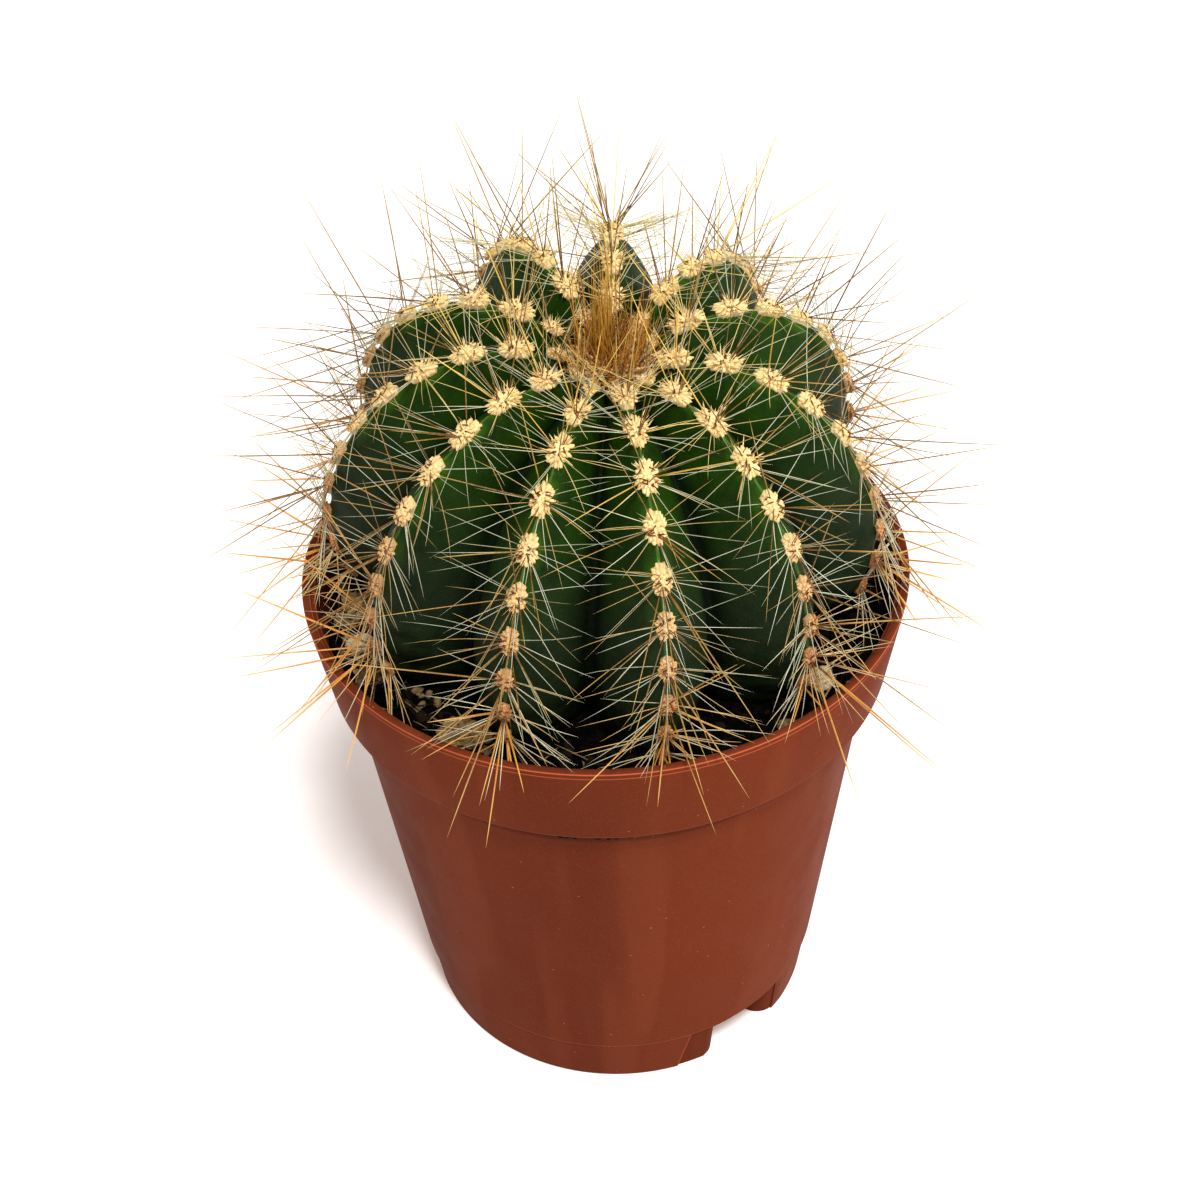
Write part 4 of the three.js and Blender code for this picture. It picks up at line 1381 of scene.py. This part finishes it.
tuft = {
    "seed": 53,
    "golden": math.radians(137.508),  # from lock to lock, so that they fill the heart evenly
    "radius": 5.2,
    "height": 2.6,
    "lift": 1.2,
    "locks": 190,
    "lockLength": (1.1, 2.3),
    "lockRadius": (0.24, 0.36),
    "lockAge": 0.55,
    "brush": {
        "count": 80, "zone": 0.36, "aside": (-1.2, 0, 0), "length": (7, 18.5), "radius": (0.03, 0.055),
        "lean": (1, -7), "jitter": 0.9, "age": 0,  # age 0 is golden, 1 coppery
    },
    "skirt": {
        "count": 480, "zone": 1, "aside": (0, 0, 0), "length": (2.5, 8), "radius": (0.05, 0.1),
        "lean": (14, 44), "jitter": 2.2, "age": 1,
    },
    "tall": {
        "count": 30, "zone": 1.1, "aside": (0, 0, 0), "length": (8, 19), "radius": (0.055, 0.09),
        "lean": (3, 22), "jitter": 0.6, "age": 0.7,
    },
}
bristleColours = {
    "golden": (tint(200, 148, 46), tint(134, 90, 26)),
    "coppery": (tint(206, 128, 42), tint(80, 36, 10)),
    "tips": tint(220, 172, 70),
    "base": tint(116, 60, 24),
    "streak": tint(228, 178, 80),
}


def bristleFinish():
    bristle = Finish("crown_bristle", {"Specular IOR Level": 0.35})
    along, tone, age = (bristle.grown(name) for name in needleValues)
    golden = bristle.blend(bristle.fade(tone, 0.1, 0.9), *bristleColours["golden"])
    coppery = bristle.blend(bristle.fade(tone, 0.2, 0.8), *bristleColours["coppery"])
    colour = bristle.blend(bristle.fade(age, 0.1, 0.9), golden, coppery)
    tips = bristle.fade(along, 0.3, 0.9) * bristle.fade(age, 0, 1, 0.6, 0.15)
    colour = bristle.blend(tips, colour, bristleColours["tips"])
    colour = bristle.blend(bristle.fade(along, 0.3, 0.05, 0, 0.6), colour, bristleColours["base"])
    return streaked(bristle, colour, 0.5, 0.25, bristleColours["streak"], (0.34, 0.5))


def makeTuft(woolFinish):
    draw = random.Random(tuft["seed"])
    crown = skinPoint(90, 0)
    turnOnly = leanTurn.to_3x3()
    locks = growing(needleTemplate("tuft lock", 5, 2, lockShape))
    bristles = growing(needleTemplate("bristle", 4, 5, spineShape))

    def heart(share, azimuth, sunk):  # a point of the woolly heart
        rise = tuft["lift"] + tuft["height"] * math.sqrt(max(0, 1 - share * share * 0.95)) - sunk
        return lean @ (crown + polar(tuft["radius"] * share, azimuth, rise))

    for index in range(tuft["locks"]):
        share = math.sqrt((index + 0.5) / tuft["locks"])
        azimuth = index * tuft["golden"]
        root = heart(share, azimuth, 0.5)
        heading = turnOnly @ polar(0.3 + 0.9 * share, azimuth + draw.uniform(-0.5, 0.5), 1).normalized()
        tip = root + heading * between(draw, tuft["lockLength"])
        radius = between(draw, tuft["lockRadius"])
        growNeedle(locks, root, tip, radius, -up * 0.2, draw.random(), tuft["lockAge"])
    for kind in (tuft["brush"], tuft["skirt"], tuft["tall"]):
        inner, outer = kind["lean"]
        for index in range(kind["count"]):
            share = math.sqrt((index + 0.5) / kind["count"]) * kind["zone"]
            azimuth = index * tuft["golden"]
            root = heart(share, azimuth, 0.7) + Vector(kind["aside"])
            slant = (inner + (outer - inner) * share / kind["zone"]) * draw.uniform(0.3, 1.3)
            tilt = math.radians(slant)
            turn = azimuth + draw.gauss(0, kind["jitter"])
            heading = turnOnly @ polar(math.sin(tilt), turn, math.cos(tilt))
            bow = polar(draw.uniform(-0.3, 0.7), azimuth)
            run = withinReach(root, heading * between(draw, kind["length"]), bow)
            radius = between(draw, kind["radius"])
            growNeedle(bristles, root, root + run, radius, bow, draw.random(), kind["age"])
    addPiece("crown_wool", locks["bm"], woolFinish, ["crown_tuft"])
    addPiece("crown_bristles", bristles["bm"], bristleFinish(), ["crown_tuft"])


makeTuft(woolFinish)

# Fibres on the soil


def makeFibres(crumbFinish):  # bits of root and coir
    draw = random.Random(soil["fibreSeed"])
    fibres = growing(needleTemplate("fibre", 4, 4, fibreShape))
    for _ in range(soil["fibres"]):
        azimuth = math.radians(soil["leftAzimuth"] + draw.gauss(0, soil["fibreSpread"]))
        spot = onSoil(between(draw, soil["fibreZone"]), azimuth, draw.uniform(0.1, 1))
        turn = azimuth + draw.choice((-1, 1)) * math.pi / 2 + draw.gauss(0, 0.5)
        run = polar(1, turn, draw.gauss(0, 0.12)) * between(draw, soil["fibreLength"])
        if math.hypot(*(spot + run).xy) > soil["fibreReach"]:
            run *= 0.5
        bow = Vector((draw.gauss(0, 0.4), draw.gauss(0, 0.4), -0.2))
        radius = between(draw, soil["fibreRadius"])
        growNeedle(fibres, spot, spot + run, radius, bow, draw.uniform(0.6, 1.8), 1)
    addPiece("soil_fibres", fibres["bm"], crumbFinish, ["soil"])


makeFibres(crumbFinish)
